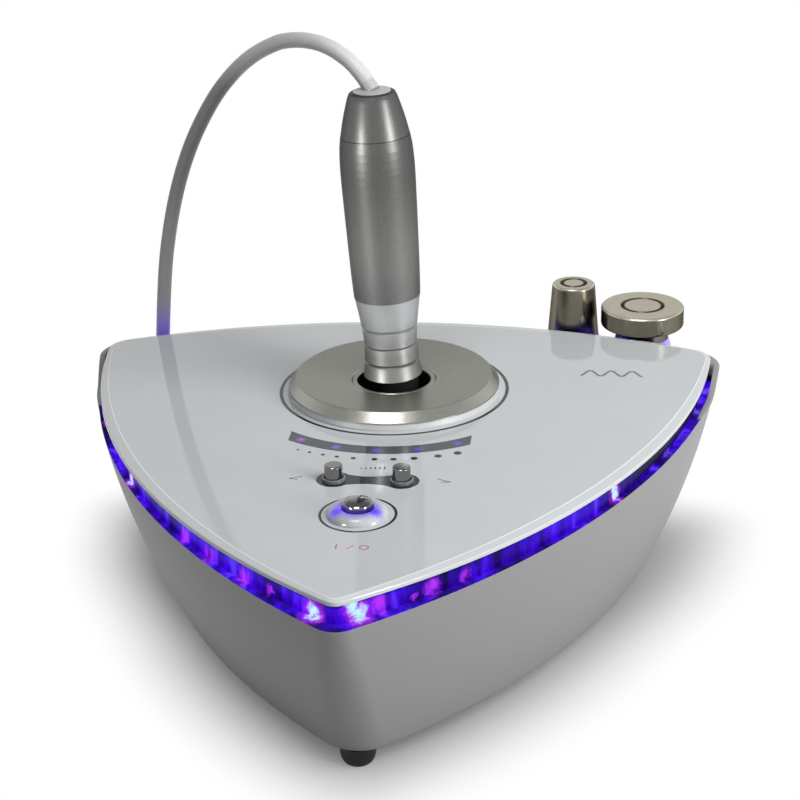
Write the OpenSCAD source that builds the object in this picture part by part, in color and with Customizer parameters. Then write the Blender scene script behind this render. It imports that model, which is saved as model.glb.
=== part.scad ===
// Desktop facial toning unit: a triangular console with a glowing edge, a handpiece that stands
// in a round dock, three push buttons, and two spare treatment heads on a shelf behind.
// Millimetres, +Z up. The origin is on the table, under the middle of the console.

/* [Top plate] */
// Side of the top plate's curved triangle, between its sharp corners
plate_side = 253.8; // [252:0.2:256]
// How far each side of the top plate bows out
plate_bow = 29.3; // [28:0.1:30]
// Height of the top plate's upper face above the table
plate_top = 87; // [86:0.5:89]
// Thickness of the top plate
plate_t = 2.2; // [2:0.1:3]
// Width of the polished bevel at the top plate's corners
bevel_corner = 1.8; // [1:0.2:3]
// Width of the polished bevel at the middle of each side
bevel_side = 5; // [3:0.2:7]

/* [Housing] */
// Side of the housing's curved triangle at its rim
rim_side = 260.6; // [259:0.2:263]
// Bow of each side at the rim
rim_bow = 27.5; // [27:0.1:28.5]
// Side of the housing's curved triangle at the table end
base_side = 220.8; // [214:0.2:226]
// Bow of each side at the table end
base_bow = 21.7; // [20:0.1:23]
// How far the wall swells between its top and its bottom
belly = 2.4; // [0:0.2:4]
// Thickness of the housing wall
wall_t = 2.5; // [2:0.1:3]
// Height of the light window between the housing and the top plate
window_h = 7.6; // [6.5:0.1:8]
// Height of the rubber feet, which the base plate stands on
foot_h = 10; // [9:0.5:12]
// Height of the housing's lower edge above the table
shell_low = 7.9; // [7:0.1:9]
// Number of light-emitting diodes behind each side of the light window
leds_per_side = 8; // [5:1:10]

/* [Dock] */
// Distance of the dock behind the middle of the console
dock_y = 39; // [36:1:42]
// Radius of the dock's silver disc at its foot
disc_r = 41.85; // [41:0.1:43]
// Height of the disc's chamfered edge
disc_t = 4; // [3:0.5:5]
// How far the disc's top dips from its edge to the opening
disc_dish = 2.2; // [1:0.1:2.4]
// Radius of the opening that the handpiece stands in
mouth_r = 14.6; // [14.5:0.1:15.5]
// Depth of the dock from the disc's edge to the bottom of its cup
cup_depth = 38.6; // [38.6:0.2:41]

/* [Handpiece] */
// Lean of the handpiece in its dock, in degrees
hand_lean = 2.6; // [0:0.2:3]
// Largest radius of the handpiece
hand_r = 14.3; // [14:0.1:14.6]
// Radius of the handpiece at the waist of its neck
hand_waist_r = 10.5; // [10.3:0.1:11]
// Radius of the electrode of the head that is fitted
fitted_r = 12; // [10:0.5:12.5]

/* [Buttons] */
// Distance of each level button from the centre line
level_x = 12.3; // [11:0.1:14]
// Radius of a level button
level_r = 3.3; // [3:0.1:3.6]
// Height of a level button above the plate
level_h = 5.9; // [5:0.1:7]
// Radius of the power button
power_r = 5.3; // [5:0.1:5.8]
// Height of the power button's edge above the plate
power_h = 4.9; // [4.5:0.1:6]
// Travel of every button
press = 0.8; // [0.5:0.1:1]

/* [Spare heads] */
// Place of the small head, from the centre line
small_x = 69; // [67:0.5:70]
// Distance of the small head behind the middle of the console
small_y = 121; // [121:0.5:123]
// Place of the large head, from the centre line
large_x = 98.6; // [97:0.1:100]
// Distance of the large head behind the middle of the console
large_y = 112.8; // [112.8:0.2:115]
// Radius of the large head's disc
large_r = 17.6; // [16:0.2:18]
// Radius of the small head's top
small_r = 9.2; // [8.6:0.2:9.6]
// Radius of the spigots that the heads stand on
spigot_r = 4.7; // [4:0.1:4.8]

/* [Cable] */
// Diameter of the handpiece cable
cable_d = 6; // [5.8:0.1:6.2]

/* [Hidden] */

$fn = 72;
tiny = 0.1;          // clearance between pieces that are fastened together
over = 1;            // how far a cutter runs past the face that it cuts

// Stations round a curved triangle: points on each side and on each corner
side_steps = 16;
corner_steps = 6;

// Outlines: [side, bow, front tip radius, back corner radius, middle y]
plate_outline = [plate_side, plate_bow, 5, 10.5, dock_y - 27.3];
flat_outline = [plate_side - 2 * bevel_corner, plate_bow - bevel_side + bevel_corner, 4, 9,
    dock_y - 27.3];
rim_outline = [rim_side, rim_bow, 9, 16, dock_y - 27.3];
base_outline = [base_side, base_bow, 15.7, 54, dock_y - 15.4];

plate_low = plate_top - plate_t;
ledge_z = plate_low - window_h;
ledge_t = 1.5;
ledge_in = 10.5;     // reach of the ledge, in from the plate's edge
lip_h = 0.4;         // lip outside the light window
lip_t = 1.6;
band_in = 1.9;       // light band's front face, in from the plate's edge
band_t = 3;
strip_in = 7;
strip_t = 0.5;
led_l = 1.4;
deck_t = 2.5;
deck_in = 5.4;
reflector_t = 2;
deck_low = plate_low - deck_t;
base_t = 3;
floor_z = foot_h + base_t;

// Screws, all of one size
screw_r = 1.5;
screw_hole_r = 1.7;
head_r = 2.8;
head_h = 1.9;
post_r = 4;

post_places = [[-78, 40], [78, 40], [-27, -58], [27, -58]];
foot_places = [[0, -92.5], [-70, 79], [70, 79]];
foot_r = 6.5;
foot_screw_z = 3.4;               // height of the heads inside the feet

board_z = 70.4;
board_t = 1.6;
board_top = board_z + board_t;
board_posts = [[-30, -22], [30, -22], [-13.5, -84], [13.5, -84]];
level_y = dock_y - 84.6;
power_y = dock_y - 111.7;
switch_h = 3.5;
plunger_h = 1.7;
stem_z = board_top + switch_h + plunger_h + press + 0.2;
level_led_r = 59;                 // radius of the row of level lights, about the dock
level_led_angles = [for (i = [0 : 4]) -120 + 15 * i];

cup_r = 17.5;
disc_low = plate_top + 2.6;
disc_top = disc_low + disc_t;
mouth_z = disc_top - disc_dish;
cup_t = 3;                        // thickness of the cup's wall and bottom
cup_low = disc_top - cup_depth - cup_t;
pad_top = cup_low + 7.2;
dock_hole_r = cup_r + 0.5;
dock_screw_pcd = 60;
hand_base = [-0.3, dock_y, 94];     // where the handpiece's neck begins

small_seat_top = plate_top - 7.4;
large_seat_top = plate_top - 4.4;
shelf_top = 72;
shelf_t = 4;
shelf_r = 15.5;                   // rounding of the shelf round each head
shelf_low = 50;                   // foot of the shelf's pad on the wall
peg_r = 3;

bay_x = [-78, 18];
bay_z = [22, 64];
bay_floor = 97;
bay_t = 2.4;
inlet_x = -12;
inlet_screw_x = 20;               // flange screws, from the inlet's middle
inlet_size = [27, 19.4];
inlet_depth = 14.6;
socket_x = -58;
ports_z = 43;

// The cable's route: out of the handpiece, over in an arch, down behind the console to the
// coil, and from the coil up to the plug
arch_route = [[-7.5, 40, 211], [-9.6, 41.2, 213.6], [-14, 44, 217.5], [-19, 46.7, 220.5],
    [-24, 50, 222.4], [-29, 53, 223.2], [-34.5, 56, 223.1], [-40.5, 59.7, 222],
    [-46, 63, 220], [-55.5, 69, 214.6], [-64.3, 74.6, 206.2], [-74.3, 80.6, 194.6],
    [-84.1, 86.5, 178.6], [-91.6, 91, 163.8], [-97, 94, 147.4], [-101.5, 96.5, 130],
    [-105, 98.5, 112], [-108.5, 100.7, 84], [-110, 101.5, 62], [-110.5, 103.5, 42],
    [-110, 107, 25], [-105, 113, 11], [-95, 117, 4.5], [-82, 118.5, 3], [-60, 118, 3],
    [-30, 116, 3], [-5, 115.2, 3.4], [15, 115, 3.8]];
tail_route = [[15, 183, 9.8], [-2, 182, 9.4], [-18, 180, 11], [-32, 176, 16], [-44, 170, 26],
    [-52, 162, 36], [-56.5, 153, 42], [-58, 147, 43], [-58, 141, 43]];
coil_x = 15;
coil_y = 149;
coil_turn_r = 31;                 // middle of the coil's turns
coil_lift = 0.8;                  // the coil lies on its tie

// ---- Geometry helpers ----

function polar(r, a) = [r * cos(a), r * sin(a)];
function lerp(a, b, u) = a + (b - a) * u;
function unit(v) = v / norm(v);
function smooth(u) = let (v = min(max(u, 0), 1)) v * v * (3 - 2 * v);

// A curved triangle has three side arcs of one radius, blended by a small arc at each corner.
// Side i faces along -30, 90 and 210 degrees; corner i follows it, at 30, 150 and 270 degrees.
function side_r(t) = (t[0] * t[0] / 4 + t[1] * t[1]) / (2 * t[1]);
function side_shift(t) = side_r(t) - t[0] / (2 * sqrt(3)) - t[1];
function side_middle(t, i) = [0, t[4]] - polar(side_shift(t), -30 + 120 * i);
function corner_r(t, e, i) = max((i == 2 ? t[2] : t[3]) + e, 0.8);
function corner_d(t, e, i) =
    let (free = side_r(t) + e - corner_r(t, e, i), c = side_shift(t))
    (-c + sqrt(4 * free * free - 3 * c * c)) / 2;
function corner_middle(t, e, i) = [0, t[4]] + polar(corner_d(t, e, i), 30 + 120 * i);
function bearing(from, to) = atan2(to[1] - from[1], to[0] - from[0]);
function turn(a, b) = let (d = b - a) d < -180 ? d + 360 : d > 180 ? d - 360 : d;

// Where side i starts and how far it turns, seen from the centre of its arc
function side_start(t, e, i) = bearing(side_middle(t, i), corner_middle(t, e, (i + 2) % 3));
function side_turn(t, e, i) =
    turn(side_start(t, e, i), bearing(side_middle(t, i), corner_middle(t, e, i)));

// The outline as points, anticlockwise from the front tip, moved outwards by e
function outline(t, e = 0) = [for (i = [0 : 2])
    let (a = side_start(t, e, i), w = side_turn(t, e, i),
         b = side_start(t, e, (i + 1) % 3), q = corner_middle(t, e, i))
    each concat(
        [for (k = [0 : side_steps - 1])
            side_middle(t, i) + polar(side_r(t) + e, a + w * k / side_steps)],
        [for (k = [0 : corner_steps - 1])
            q + polar(corner_r(t, e, i), a + w + turn(a + w, b) * k / corner_steps)])];

// Outline of the housing at share u of its height, 0 at the foot and 1 at the rim
function wall_outline(u) = lerp(base_outline, rim_outline, u);
function wall_share(z) = (z - shell_low) / (ledge_z - shell_low);
function wall_ring(z, e = 0) =
    let (u = wall_share(z))
    outline(wall_outline(u), e + belly * 4 * u * (1 - u));

function at_height(ring, z) = [for (p = ring) [p[0], p[1], z]];

// Curve through a list of points (Catmull-Rom), sampled about every step
function curve_point(p, i, t) =
    let (a = p[max(i - 1, 0)], b = p[i], c = p[i + 1], d = p[min(i + 2, len(p) - 1)])
    (2 * b + (c - a) * t + (2 * a - 5 * b + 4 * c - d) * t * t
        + (3 * b - a - 3 * c + d) * t * t * t) / 2;
function smooth_curve(p, step) = concat(
    [for (i = [0 : len(p) - 2])
        let (n = max(1, round(norm(p[i + 1] - p[i]) / step)))
        for (k = [0 : n - 1]) curve_point(p, i, k / n)],
    [p[len(p) - 1]]);

// Skin over a stack of rings with the same number of points. It is capped at both ends, or
// closed from the last ring to the first.
module skin(rings, closed = false) {
    n = len(rings[0]);
    rows = len(rings);
    walls = [for (i = [0 : closed ? rows - 1 : rows - 2], j = [0 : n - 1])
        let (a = i * n + j, b = i * n + (j + 1) % n,
             c = ((i + 1) % rows) * n + (j + 1) % n, d = ((i + 1) % rows) * n + j)
        each [[a, d, c], [a, c, b]]];
    caps = closed ? [] : [[for (j = [0 : n - 1]) j],
        [for (j = [n - 1 : -1 : 0]) (rows - 1) * n + j]];
    polyhedron([for (r = rings) each r], concat(walls, caps), convexity = 8);
}

// Round tube swept along a path, its rings turned as little as possible from one to the next
function carried(t, u, i = 0, done = []) = i == len(t) ? done :
    let (v = unit(u - (u * t[i]) * t[i])) carried(t, v, i + 1, concat(done, [v]));
module tube(path, d, sides = 10) {
    last = len(path) - 1;
    way = [for (i = [0 : last]) unit(path[min(i + 1, last)] - path[max(i - 1, 0)])];
    across = carried(way, unit(cross(way[0], [0.2, 0.9, 0.4])));
    skin([for (i = [0 : last]) [for (j = [0 : sides - 1])
        let (a = 360 * j / sides)
        path[i] + d / 2 * (cos(a) * across[i] + sin(a) * cross(way[i], across[i]))]]);
}

module slab(t, e, z0, z1) {
    translate([0, 0, z0]) linear_extrude(z1 - z0) polygon(outline(t, e));
}

module ring_slab(t, e_out, e_in, z0, z1) {
    translate([0, 0, z0]) linear_extrude(z1 - z0) difference() {
        polygon(outline(t, e_out));
        polygon(outline(t, e_in));
    }
}

module rod(r, z0, z1) {
    translate([0, 0, z0]) cylinder(r = r, h = z1 - z0);
}

module at_places(places) {
    for (p = places) translate([p[0], p[1], 0]) children();
}

module at_dock() {
    translate([0, dock_y, 0]) children();
}

// Screw with a round flat head and a hexagon recess. It points up, and its head starts at z.
module screw(z, length) {
    difference() {
        union() {
            rod(head_r, z, z + head_h);
            rod(screw_r, z + head_h, z + head_h + length);
        }
        translate([0, 0, z - over]) cylinder(r = 1.3, h = over + 1.1, $fn = 6);
    }
}

// Places children on the back wall at x and height z, with their +Z axis pointing out
module on_back_wall(x, z) {
    t = wall_outline(wall_share(z));
    u = wall_share(z);
    r = side_r(t) + belly * 4 * u * (1 - u);
    c = side_middle(t, 1);
    a = acos(x / r);
    translate([c[0], c[1], z]) rotate([0, 0, a]) translate([r, 0, 0]) rotate([0, 90, 0])
        children();
}

// Solid between the foot and the ledge with the housing's outer skin, for trimming
module wall_solid(e, heights) {
    skin([for (z = heights) at_height(wall_ring(z, e), z)]);
}

// ---- Console: shell, light window, plate ----

// The lip outside the light window is low along the sides and rises at the two back corners
function corner_point(i) = [0, rim_outline[4]]
    + polar(corner_d(rim_outline, 0, i) + corner_r(rim_outline, 0, i), 30 + 120 * i);
function lip_z(p) =
    let (d = min(norm(p - corner_point(0)), norm(p - corner_point(1))))
    lerp(plate_low - 0.3, ledge_z + lip_h, smooth((d - 12) / 43));

module housing() {
    edge = 0.8;
    rim = outline(rim_outline);
    lip = [for (p = rim) lip_z(p)];
    crown = outline(rim_outline, -lip_h);
    seat = outline(plate_outline, -lip_t);
    inner = outline(plate_outline, -ledge_in);
    outer_rows = concat(
        [at_height(wall_ring(shell_low, -edge), shell_low)],
        [for (z = [shell_low + edge, 18, 30, 42, 54, 65, 72, ledge_z - 0.6])
            at_height(wall_ring(z), z)]);
    lip_rows = [
        [for (i = [0 : len(rim) - 1]) [rim[i][0], rim[i][1], lip[i] - lip_h]],
        [for (i = [0 : len(rim) - 1]) [crown[i][0], crown[i][1], lip[i]]],
        [for (i = [0 : len(rim) - 1]) [seat[i][0], seat[i][1], lip[i]]],
        at_height(seat, ledge_z), at_height(inner, ledge_z),
        at_height(inner, ledge_z - ledge_t)];
    inner_rows = [for (z = [ledge_z - ledge_t, 64, 46, 28, shell_low])
        at_height(wall_ring(z, -wall_t), z)];
    color("silver") difference() {
        skin(concat(outer_rows, lip_rows, inner_rows), closed = true);
        translate([bay_x[0] - bay_t - tiny, bay_floor - 15, bay_z[0] - bay_t - tiny])
            cube([bay_x[1] - bay_x[0] + 2 * (bay_t + tiny), 60,
                bay_z[1] - bay_z[0] + 2 * (bay_t + tiny)]);
        for (x = shelf_screw_x) on_back_wall(x, shelf_screw_z)
            cylinder(r = screw_hole_r, h = 20, center = true);
    }
}

module light_band() {
    color([0.45, 0.3, 1, 0.6])
        ring_slab(plate_outline, -band_in, -band_in - band_t, ledge_z, plate_low);
}

module led_strip() {
    color("white")
        ring_slab(plate_outline, -strip_in, -strip_in - strip_t, ledge_z + 0.3, deck_low - 0.3);
}

// The upright ring that the light strip is stuck to
module reflector() {
    back = strip_in + strip_t;
    color("white") ring_slab(plate_outline, -back, -back - reflector_t, ledge_z, deck_low);
}

module edge_leds() {
    w = 3.5;
    h = 2.8;
    color("lightyellow") for (i = [0 : 2], k = [0 : leds_per_side - 1]) {
        a = side_start(plate_outline, 0, i)
            + side_turn(plate_outline, 0, i) * (k + 0.35) / (leds_per_side - 0.3);
        c = side_middle(plate_outline, i);
        translate([c[0], c[1], ledge_z + 1.2]) rotate([0, 0, a])
            translate([side_r(plate_outline) - strip_in + 0.05, -w / 2, 0])
                cube([led_l, w, h]);
    }
}

module deck() {
    color("whitesmoke") difference() {
        union() {
            slab(plate_outline, -deck_in, deck_low, plate_low);
            at_places(post_places) rod(post_r, floor_z, deck_low + over);
            at_places(board_posts) rod(3, board_top, deck_low + over);
        }
        at_dock() rod(dock_hole_r, deck_low - over, plate_top);
        at_places([[-level_x, level_y], [level_x, level_y]])
            rod(level_r + 0.6, deck_low - over, plate_top);
        at_places([[0, power_y]]) rod(9, deck_low - over, plate_top);
        at_places(post_places) rod(screw_r + 0.05, floor_z - over, floor_z + 14);
        at_places(board_posts) rod(screw_r + 0.05, board_top - over, board_top + 7);
        at_dock() for (a = level_led_angles) rotate([0, 0, a]) translate([level_led_r, 0, 0])
            rod(2.6, deck_low - over, plate_top);
        at_dock() dock_screw_places() rod(screw_hole_r, deck_low - over, plate_top);
    }
}

module top_plate() {
    rings = [at_height(outline(plate_outline), plate_low),
        at_height(outline(plate_outline), plate_top - 0.5),
        at_height(outline(flat_outline), plate_top)];
    color("gainsboro") difference() {
        skin(rings);
        at_dock() rod(dock_hole_r, plate_low - over, plate_top + over);
        at_dock() dock_screw_places() rod(screw_hole_r, plate_low - over, plate_top + over);
        at_places([[-level_x, level_y], [level_x, level_y]])
            rod(level_r + 0.4, plate_low - over, plate_top + over);
        at_places([[0, power_y]]) rod(8, plate_low - over, plate_top + over);
    }
}

module base_plate() {
    vent_l = 26;
    vent_w = 2.4;
    color("dimgray") difference() {
        slab(base_outline, -wall_t - 0.3, foot_h, floor_z);
        at_places(post_places) {
            rod(screw_hole_r, foot_h - over, floor_z + over);
            rod(head_r + 0.3, foot_h - over, foot_h + 2.1);
        }
        at_places(foot_places) rod(screw_r + 0.05, foot_h - over, floor_z + over);
        for (side = [-1, 1], i = [0 : 6])
            translate([side * 46 - vent_l / 2, -14 + i * 6, foot_h - over])
                cube([vent_l, vent_w, base_t + 2 * over]);
    }
}

module base_screws() {
    color("silver") at_places(post_places) screw(foot_h + 0.2, 12);
}

module feet() {
    flat_r = 4.2;
    swell = [foot_r - flat_r, 5];     // width and height of the rounding at the table
    neck_r = 4;                       // the neck goes up between the walls
    shoulder = shell_low - 0.4;
    color([0.08, 0.08, 0.09]) at_places(foot_places) difference() {
        rotate_extrude() polygon(concat([[0, 0], [flat_r, 0]],
            [for (a = [-75 : 15 : 0])
                [flat_r + swell[0] * cos(a), swell[1] * (1 + sin(a))]],
            [[foot_r, shoulder], [neck_r, shoulder], [neck_r, foot_h], [0, foot_h]]));
        rod(head_r + 0.2, -over, foot_screw_z + head_h + 0.1);
        rod(screw_hole_r, -over, foot_h + over);
    }
}

module foot_screws() {
    color("silver") at_places(foot_places) screw(foot_screw_z, 8.6);
}

// ---- Dock ----

module dock_screw_places() {
    for (a = [30, 150, 270]) rotate([0, 0, a]) translate([dock_screw_pcd / 2, 0, 0]) children();
}

module dock_trim() {
    color("white") at_dock() difference() {
        rotate_extrude($fn = 120) polygon([[24, plate_top], [disc_r + 0.45, plate_top],
            [disc_r + 0.45, plate_top + 0.6], [disc_r - 0.25, disc_low], [24, disc_low]]);
        dock_screw_places() rod(screw_hole_r, plate_top - over, disc_low + over);
    }
}

// The disc: a chamfered edge, a top that dips to a turned groove, and the lip of the mouth
module dock_disc() {
    chamfer = 3.1;
    groove_r = 16.6;
    groove_w = 0.35;
    round = 0.7;
    lip = 0.6;
    top_r = disc_r - chamfer - 0.3;
    function dish_z(r) = lerp(mouth_z, disc_top, (r - mouth_r) / (top_r - mouth_r));
    color("silver") at_dock() difference() {
        rotate_extrude($fn = 120) polygon(concat(
            [[cup_r + 0.2, disc_low], [disc_r, disc_low], [disc_r, disc_low + 0.5]],
            [for (a = [40 : 10 : 90]) [top_r, disc_top - round] + polar(round, a)],
            [for (k = [1, 0, -1]) let (r = groove_r + k * groove_w)
                [r, dish_z(r) - (k == 0 ? groove_w : 0)]],
            [for (a = [90 : 15 : 180]) [mouth_r + lip, mouth_z - lip] + polar(lip, a)],
            [[mouth_r, mouth_z - 1.3], [cup_r + 0.2, mouth_z - 1.3]]));
        dock_screw_places() rod(screw_r + 0.05, disc_low - over, disc_low + 2.3);
    }
}

module dock_cup() {
    flange_r = 23;
    lip_top = mouth_z - 1.4;
    color([0.1, 0.1, 0.11]) at_dock() rotate_extrude() polygon([
        [0, cup_low], [cup_r, cup_low], [cup_r, plate_top], [flange_r, plate_top],
        [flange_r, disc_low - tiny], [cup_r, disc_low - tiny], [cup_r, lip_top],
        [mouth_r - tiny, lip_top], [mouth_r - tiny, cup_low + cup_t], [0, cup_low + cup_t]]);
}

module dock_pad() {
    color([0.16, 0.16, 0.17]) at_dock() rotate_extrude() polygon(concat(
        [[0, cup_low + cup_t], [mouth_r - 0.5, cup_low + cup_t]],
        [for (a = [0 : 15 : 90]) [mouth_r - 1.5, pad_top - 1] + polar(1, a)],
        [[5, pad_top], [4, pad_top - 1], [0, pad_top - 1]]));
}

module dock_screws() {
    color("silver") at_dock() dock_screw_places() screw(deck_low - head_h, 9.5);
}

// ---- Buttons and the board below them ----

module level_collars() {
    color("gainsboro") at_places([[-level_x, level_y], [level_x, level_y]])
        rotate_extrude() polygon([[level_r + 0.4, plate_top], [level_r + 1, plate_top],
            [level_r + 0.95, plate_top + 0.9], [level_r + 0.7, plate_top + 1.2],
            [level_r + 0.4, plate_top + 1.2]]);
}

module level_cap() {
    round = 0.5;
    top = plate_top + level_h;
    rotate_extrude() polygon(concat(
        [[0, stem_z], [1.5, stem_z], [1.5, deck_low - 1.4], [level_r + 1.3, deck_low - 1.4],
         [level_r + 1.3, deck_low - 0.4], [level_r, deck_low - 0.4]],
        [for (a = [0 : 18 : 90]) [level_r - round, top - round] + polar(round, a)],
        [[0, top]]));
}

module level_down_cap() {
    color("gray") translate([-level_x, level_y, 0]) level_cap();
}

module level_up_cap() {
    color("gray") translate([level_x, level_y, 0]) level_cap();
}

module power_collar() {
    dome_r = 10.8;
    dome_h = 3.2;
    color([0.7, 0.6, 1, 0.6]) at_places([[0, power_y]]) rotate_extrude() polygon(concat(
        [[power_r + 0.4, plate_low], [7.9, plate_low], [7.9, plate_top], [dome_r, plate_top]],
        [for (a = [0 : 10 : 80]) [power_r + 1.6, plate_top]
            + [(dome_r - power_r - 1.6) * cos(a), dome_h * sin(a)]],
        [[power_r + 1.2, plate_top + dome_h], [power_r + 0.4, plate_top + dome_h - 0.5]]));
}

module power_cap() {
    edge = plate_top + power_h;
    crown = 1;
    color("gray") at_places([[0, power_y]]) rotate_extrude() polygon(concat(
        [[0, stem_z], [2, stem_z], [2, deck_low + 0.6], [power_r + 1.4, deck_low + 0.6],
         [power_r + 1.4, deck_low + 1.8], [power_r, deck_low + 1.8], [power_r, edge - 0.4]],
        [for (a = [10 : 16 : 90]) [power_r * cos(a), edge - 0.4 + (crown + 0.4) * sin(a)]]));
}

module control_board() {
    wing = 34;
    tail = 18;
    color("darkgreen") difference() {
        translate([0, 0, board_z]) linear_extrude(board_t) polygon([[-wing, -6], [-wing, -28],
            [-tail, -34], [-tail, -89], [tail, -89], [tail, -34], [wing, -28], [wing, -6]]);
        at_places(board_posts) rod(screw_hole_r, board_z - over, board_top + over);
    }
}

module board_screws() {
    color("silver") at_places(board_posts) screw(board_z - head_h, 7);
}

module button_switches() {
    w = 6;
    color("dimgray")
        for (p = [[-level_x, level_y], [level_x, level_y], [0, power_y]]) translate([p[0], p[1]]) {
            translate([-w / 2, -w / 2, board_top]) cube([w, w, switch_h]);
            rod(1.75, board_top + switch_h, board_top + switch_h + plunger_h);
        }
}

module level_leds() {
    color([0.6, 0.4, 1]) at_dock() for (a = level_led_angles) rotate([0, 0, a])
        translate([level_led_r, 0, 0]) rotate_extrude() polygon(concat(
            [[0, board_top], [2.9, board_top], [2.9, board_top + 1], [2.4, board_top + 1]],
            [for (b = [0 : 15 : 90]) [0, deck_low - 1] + polar(2.4, b)]));
}

module power_leds() {
    w = 2.8;
    color([0.6, 0.4, 1]) at_places([[0, power_y]]) for (a = [30 : 60 : 330]) rotate([0, 0, a])
        translate([5.6, -w / 2, board_top]) cube([w, w, 1.9]);
}

// ---- Power and drive electronics ----

rf_z = floor_z + 7;
rf_top = rf_z + board_t;
rf_posts = [[-52, -18], [52, -18], [-52, 44], [20, 44]];

module rf_board() {
    color("green") difference() {
        translate([-57, -23, rf_z]) cube([114, 72, board_t]);
        translate([26, 38, rf_z - over]) cube([40, 20, board_t + 2 * over]);
        at_places(rf_posts) rod(screw_hole_r, rf_z - over, rf_top + over);
    }
}

module board_standoffs() {
    color("gold") at_places(rf_posts) {
        difference() {
            rod(3, floor_z, rf_z);
            rod(screw_r, floor_z + 1, rf_z + over);
        }
        rod(screw_r - 0.1, floor_z + 2, rf_top);
        rod(head_r, rf_top, rf_top + head_h);
    }
}

// Transformer with an E-shaped core: two windows with the winding between them
module transformer_core() {
    color([0.25, 0.25, 0.27]) translate([-46, -2, rf_top]) difference() {
        cube([34, 15, 30]);
        for (x = [6, 22]) translate([x, -over, 6]) cube([6, 15 + 2 * over, 18]);
    }
}

module transformer_winding() {
    color("orange") translate([-46, -2, rf_top]) difference() {
        translate([6.3, -5, 6.3]) cube([21.4, 25, 17.4]);
        translate([11.9, -tiny, 0]) cube([10.2, 15 + 2 * tiny, 30]);
    }
}

module heat_sink() {
    fins = 7;
    pitch = 4.6;
    color("darkgray") translate([12, 8, rf_top]) {
        cube([3, 26, 27]);
        for (i = [0 : fins - 1]) translate([3, i * (26 - 1.6) / (fins - 1), 0])
            cube([14, 1.6, 27]);
        translate([3, 0, 0]) cube([pitch, 26, 2]);
    }
}

module power_transistor() {
    color([0.12, 0.12, 0.12]) translate([12 - 4.5 - tiny, 13, rf_top + 4]) cube([4.5, 10, 15]);
    color("silver") for (i = [-1 : 1]) translate([9, 18 + i * 2.5, rf_top]) cube([0.6, 1, 4]);
}

module capacitors() {
    color("navy") for (p = [[-2, -12, 8, 24], [18, -12, 8, 24], [38, -12, 6.3, 16], [40, 8, 5, 12]])
        translate([p[0], p[1], rf_top]) rotate_extrude() polygon([[0, 0], [p[2], 0],
            [p[2], 1.4], [p[2] - 0.6, 2], [p[2], 2.6], [p[2], p[3] - 0.6], [p[2] - 0.6, p[3]],
            [p[2] - 2, p[3]], [p[2] - 2.2, p[3] - 0.4], [0, p[3] - 0.4]]);
}

// ---- Connectors in a recess in the back ----

module connector_bay() {
    mid_y = bay_floor - bay_t;
    color([0.13, 0.13, 0.14]) difference() {
        intersection() {
            difference() {
                translate([bay_x[0] - bay_t, mid_y, bay_z[0] - bay_t])
                    cube([bay_x[1] - bay_x[0] + 2 * bay_t, 40, bay_z[1] - bay_z[0] + 2 * bay_t]);
                translate([bay_x[0], bay_floor, bay_z[0]])
                    cube([bay_x[1] - bay_x[0], 60, bay_z[1] - bay_z[0]]);
            }
            wall_solid(-0.2, [12, 30, 50, 70]);
        }
        translate([inlet_x - inlet_size[0] / 2 - 0.2, mid_y - over, ports_z - inlet_size[1] / 2 - 0.2])
            cube([inlet_size[0] + 0.4, bay_t + 2 * over, inlet_size[1] + 0.4]);
        for (side = [-1, 1]) translate([inlet_x + side * inlet_screw_x, mid_y - over, ports_z])
            rotate([-90, 0, 0]) cylinder(r = screw_r + 0.05, h = bay_t + 2 * over);
        translate([socket_x, mid_y - over, ports_z]) rotate([-90, 0, 0])
            cylinder(r = 6.2, h = bay_t + 2 * over);
    }
}

// Places children at a port, with their +Z axis pointing out of the back
module at_port(x) {
    translate([x, bay_floor, ports_z]) rotate([-90, 180, 0]) children();
}

// Outline of the appliance inlet's mouth: a rectangle with two cut corners
module inlet_mouth(w, h, cut) {
    polygon([[-w / 2, -h / 2], [w / 2, -h / 2], [w / 2, h / 2 - cut], [w / 2 - cut, h / 2],
        [-w / 2 + cut, h / 2], [-w / 2, h / 2 - cut]]);
}

module inlet_body() {
    color([0.07, 0.07, 0.08]) at_port(inlet_x) difference() {
        union() {
            linear_extrude(2.4) polygon([[-25, -6], [-17, -11.2], [17, -11.2], [25, -6],
                [25, 6], [17, 11.2], [-17, 11.2], [-25, 6]]);
            translate([0, 0, -17]) linear_extrude(17 + tiny)
                inlet_mouth(inlet_size[0], inlet_size[1], 4);
        }
        translate([0, 0, -inlet_depth]) linear_extrude(20) inlet_mouth(24.2, 16.2, 4);
        for (side = [-1, 1]) translate([side * inlet_screw_x, 0, -over])
            cylinder(r = screw_hole_r, h = 5);
    }
}

module inlet_pins() {
    color("silver") at_port(inlet_x) for (p = [[-7, -2], [0, 2], [7, -2]])
        translate([p[0] - 1, p[1] - 2, -inlet_depth]) cube([2, 4, 14]);
}

module inlet_screws() {
    color("silver") at_port(inlet_x) for (side = [-1, 1]) translate([side * inlet_screw_x, 0, 0])
        mirror([0, 0, 1]) screw(-2.4 - head_h, 7);
}

module panel_socket() {
    color("silver") at_port(socket_x) difference() {
        union() {
            cylinder(r = 8.5, h = 2);
            translate([0, 0, -14]) cylinder(r = 6, h = 14 + tiny);
        }
        translate([0, 0, -9]) cylinder(r = 4.6, h = 20);
    }
}

module socket_nut() {
    color("silver") at_port(socket_x) translate([0, 0, -bay_t - 3]) difference() {
        cylinder(r = 9.6, h = 3, $fn = 6);
        translate([0, 0, -over]) cylinder(r = 6.1, h = 5);
    }
}

module socket_contacts() {
    color("gold") at_port(socket_x) for (a = [45 : 90 : 315]) rotate([0, 0, a])
        translate([2.6, 0, -9]) cylinder(r = 0.6, h = 7);
}

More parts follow.
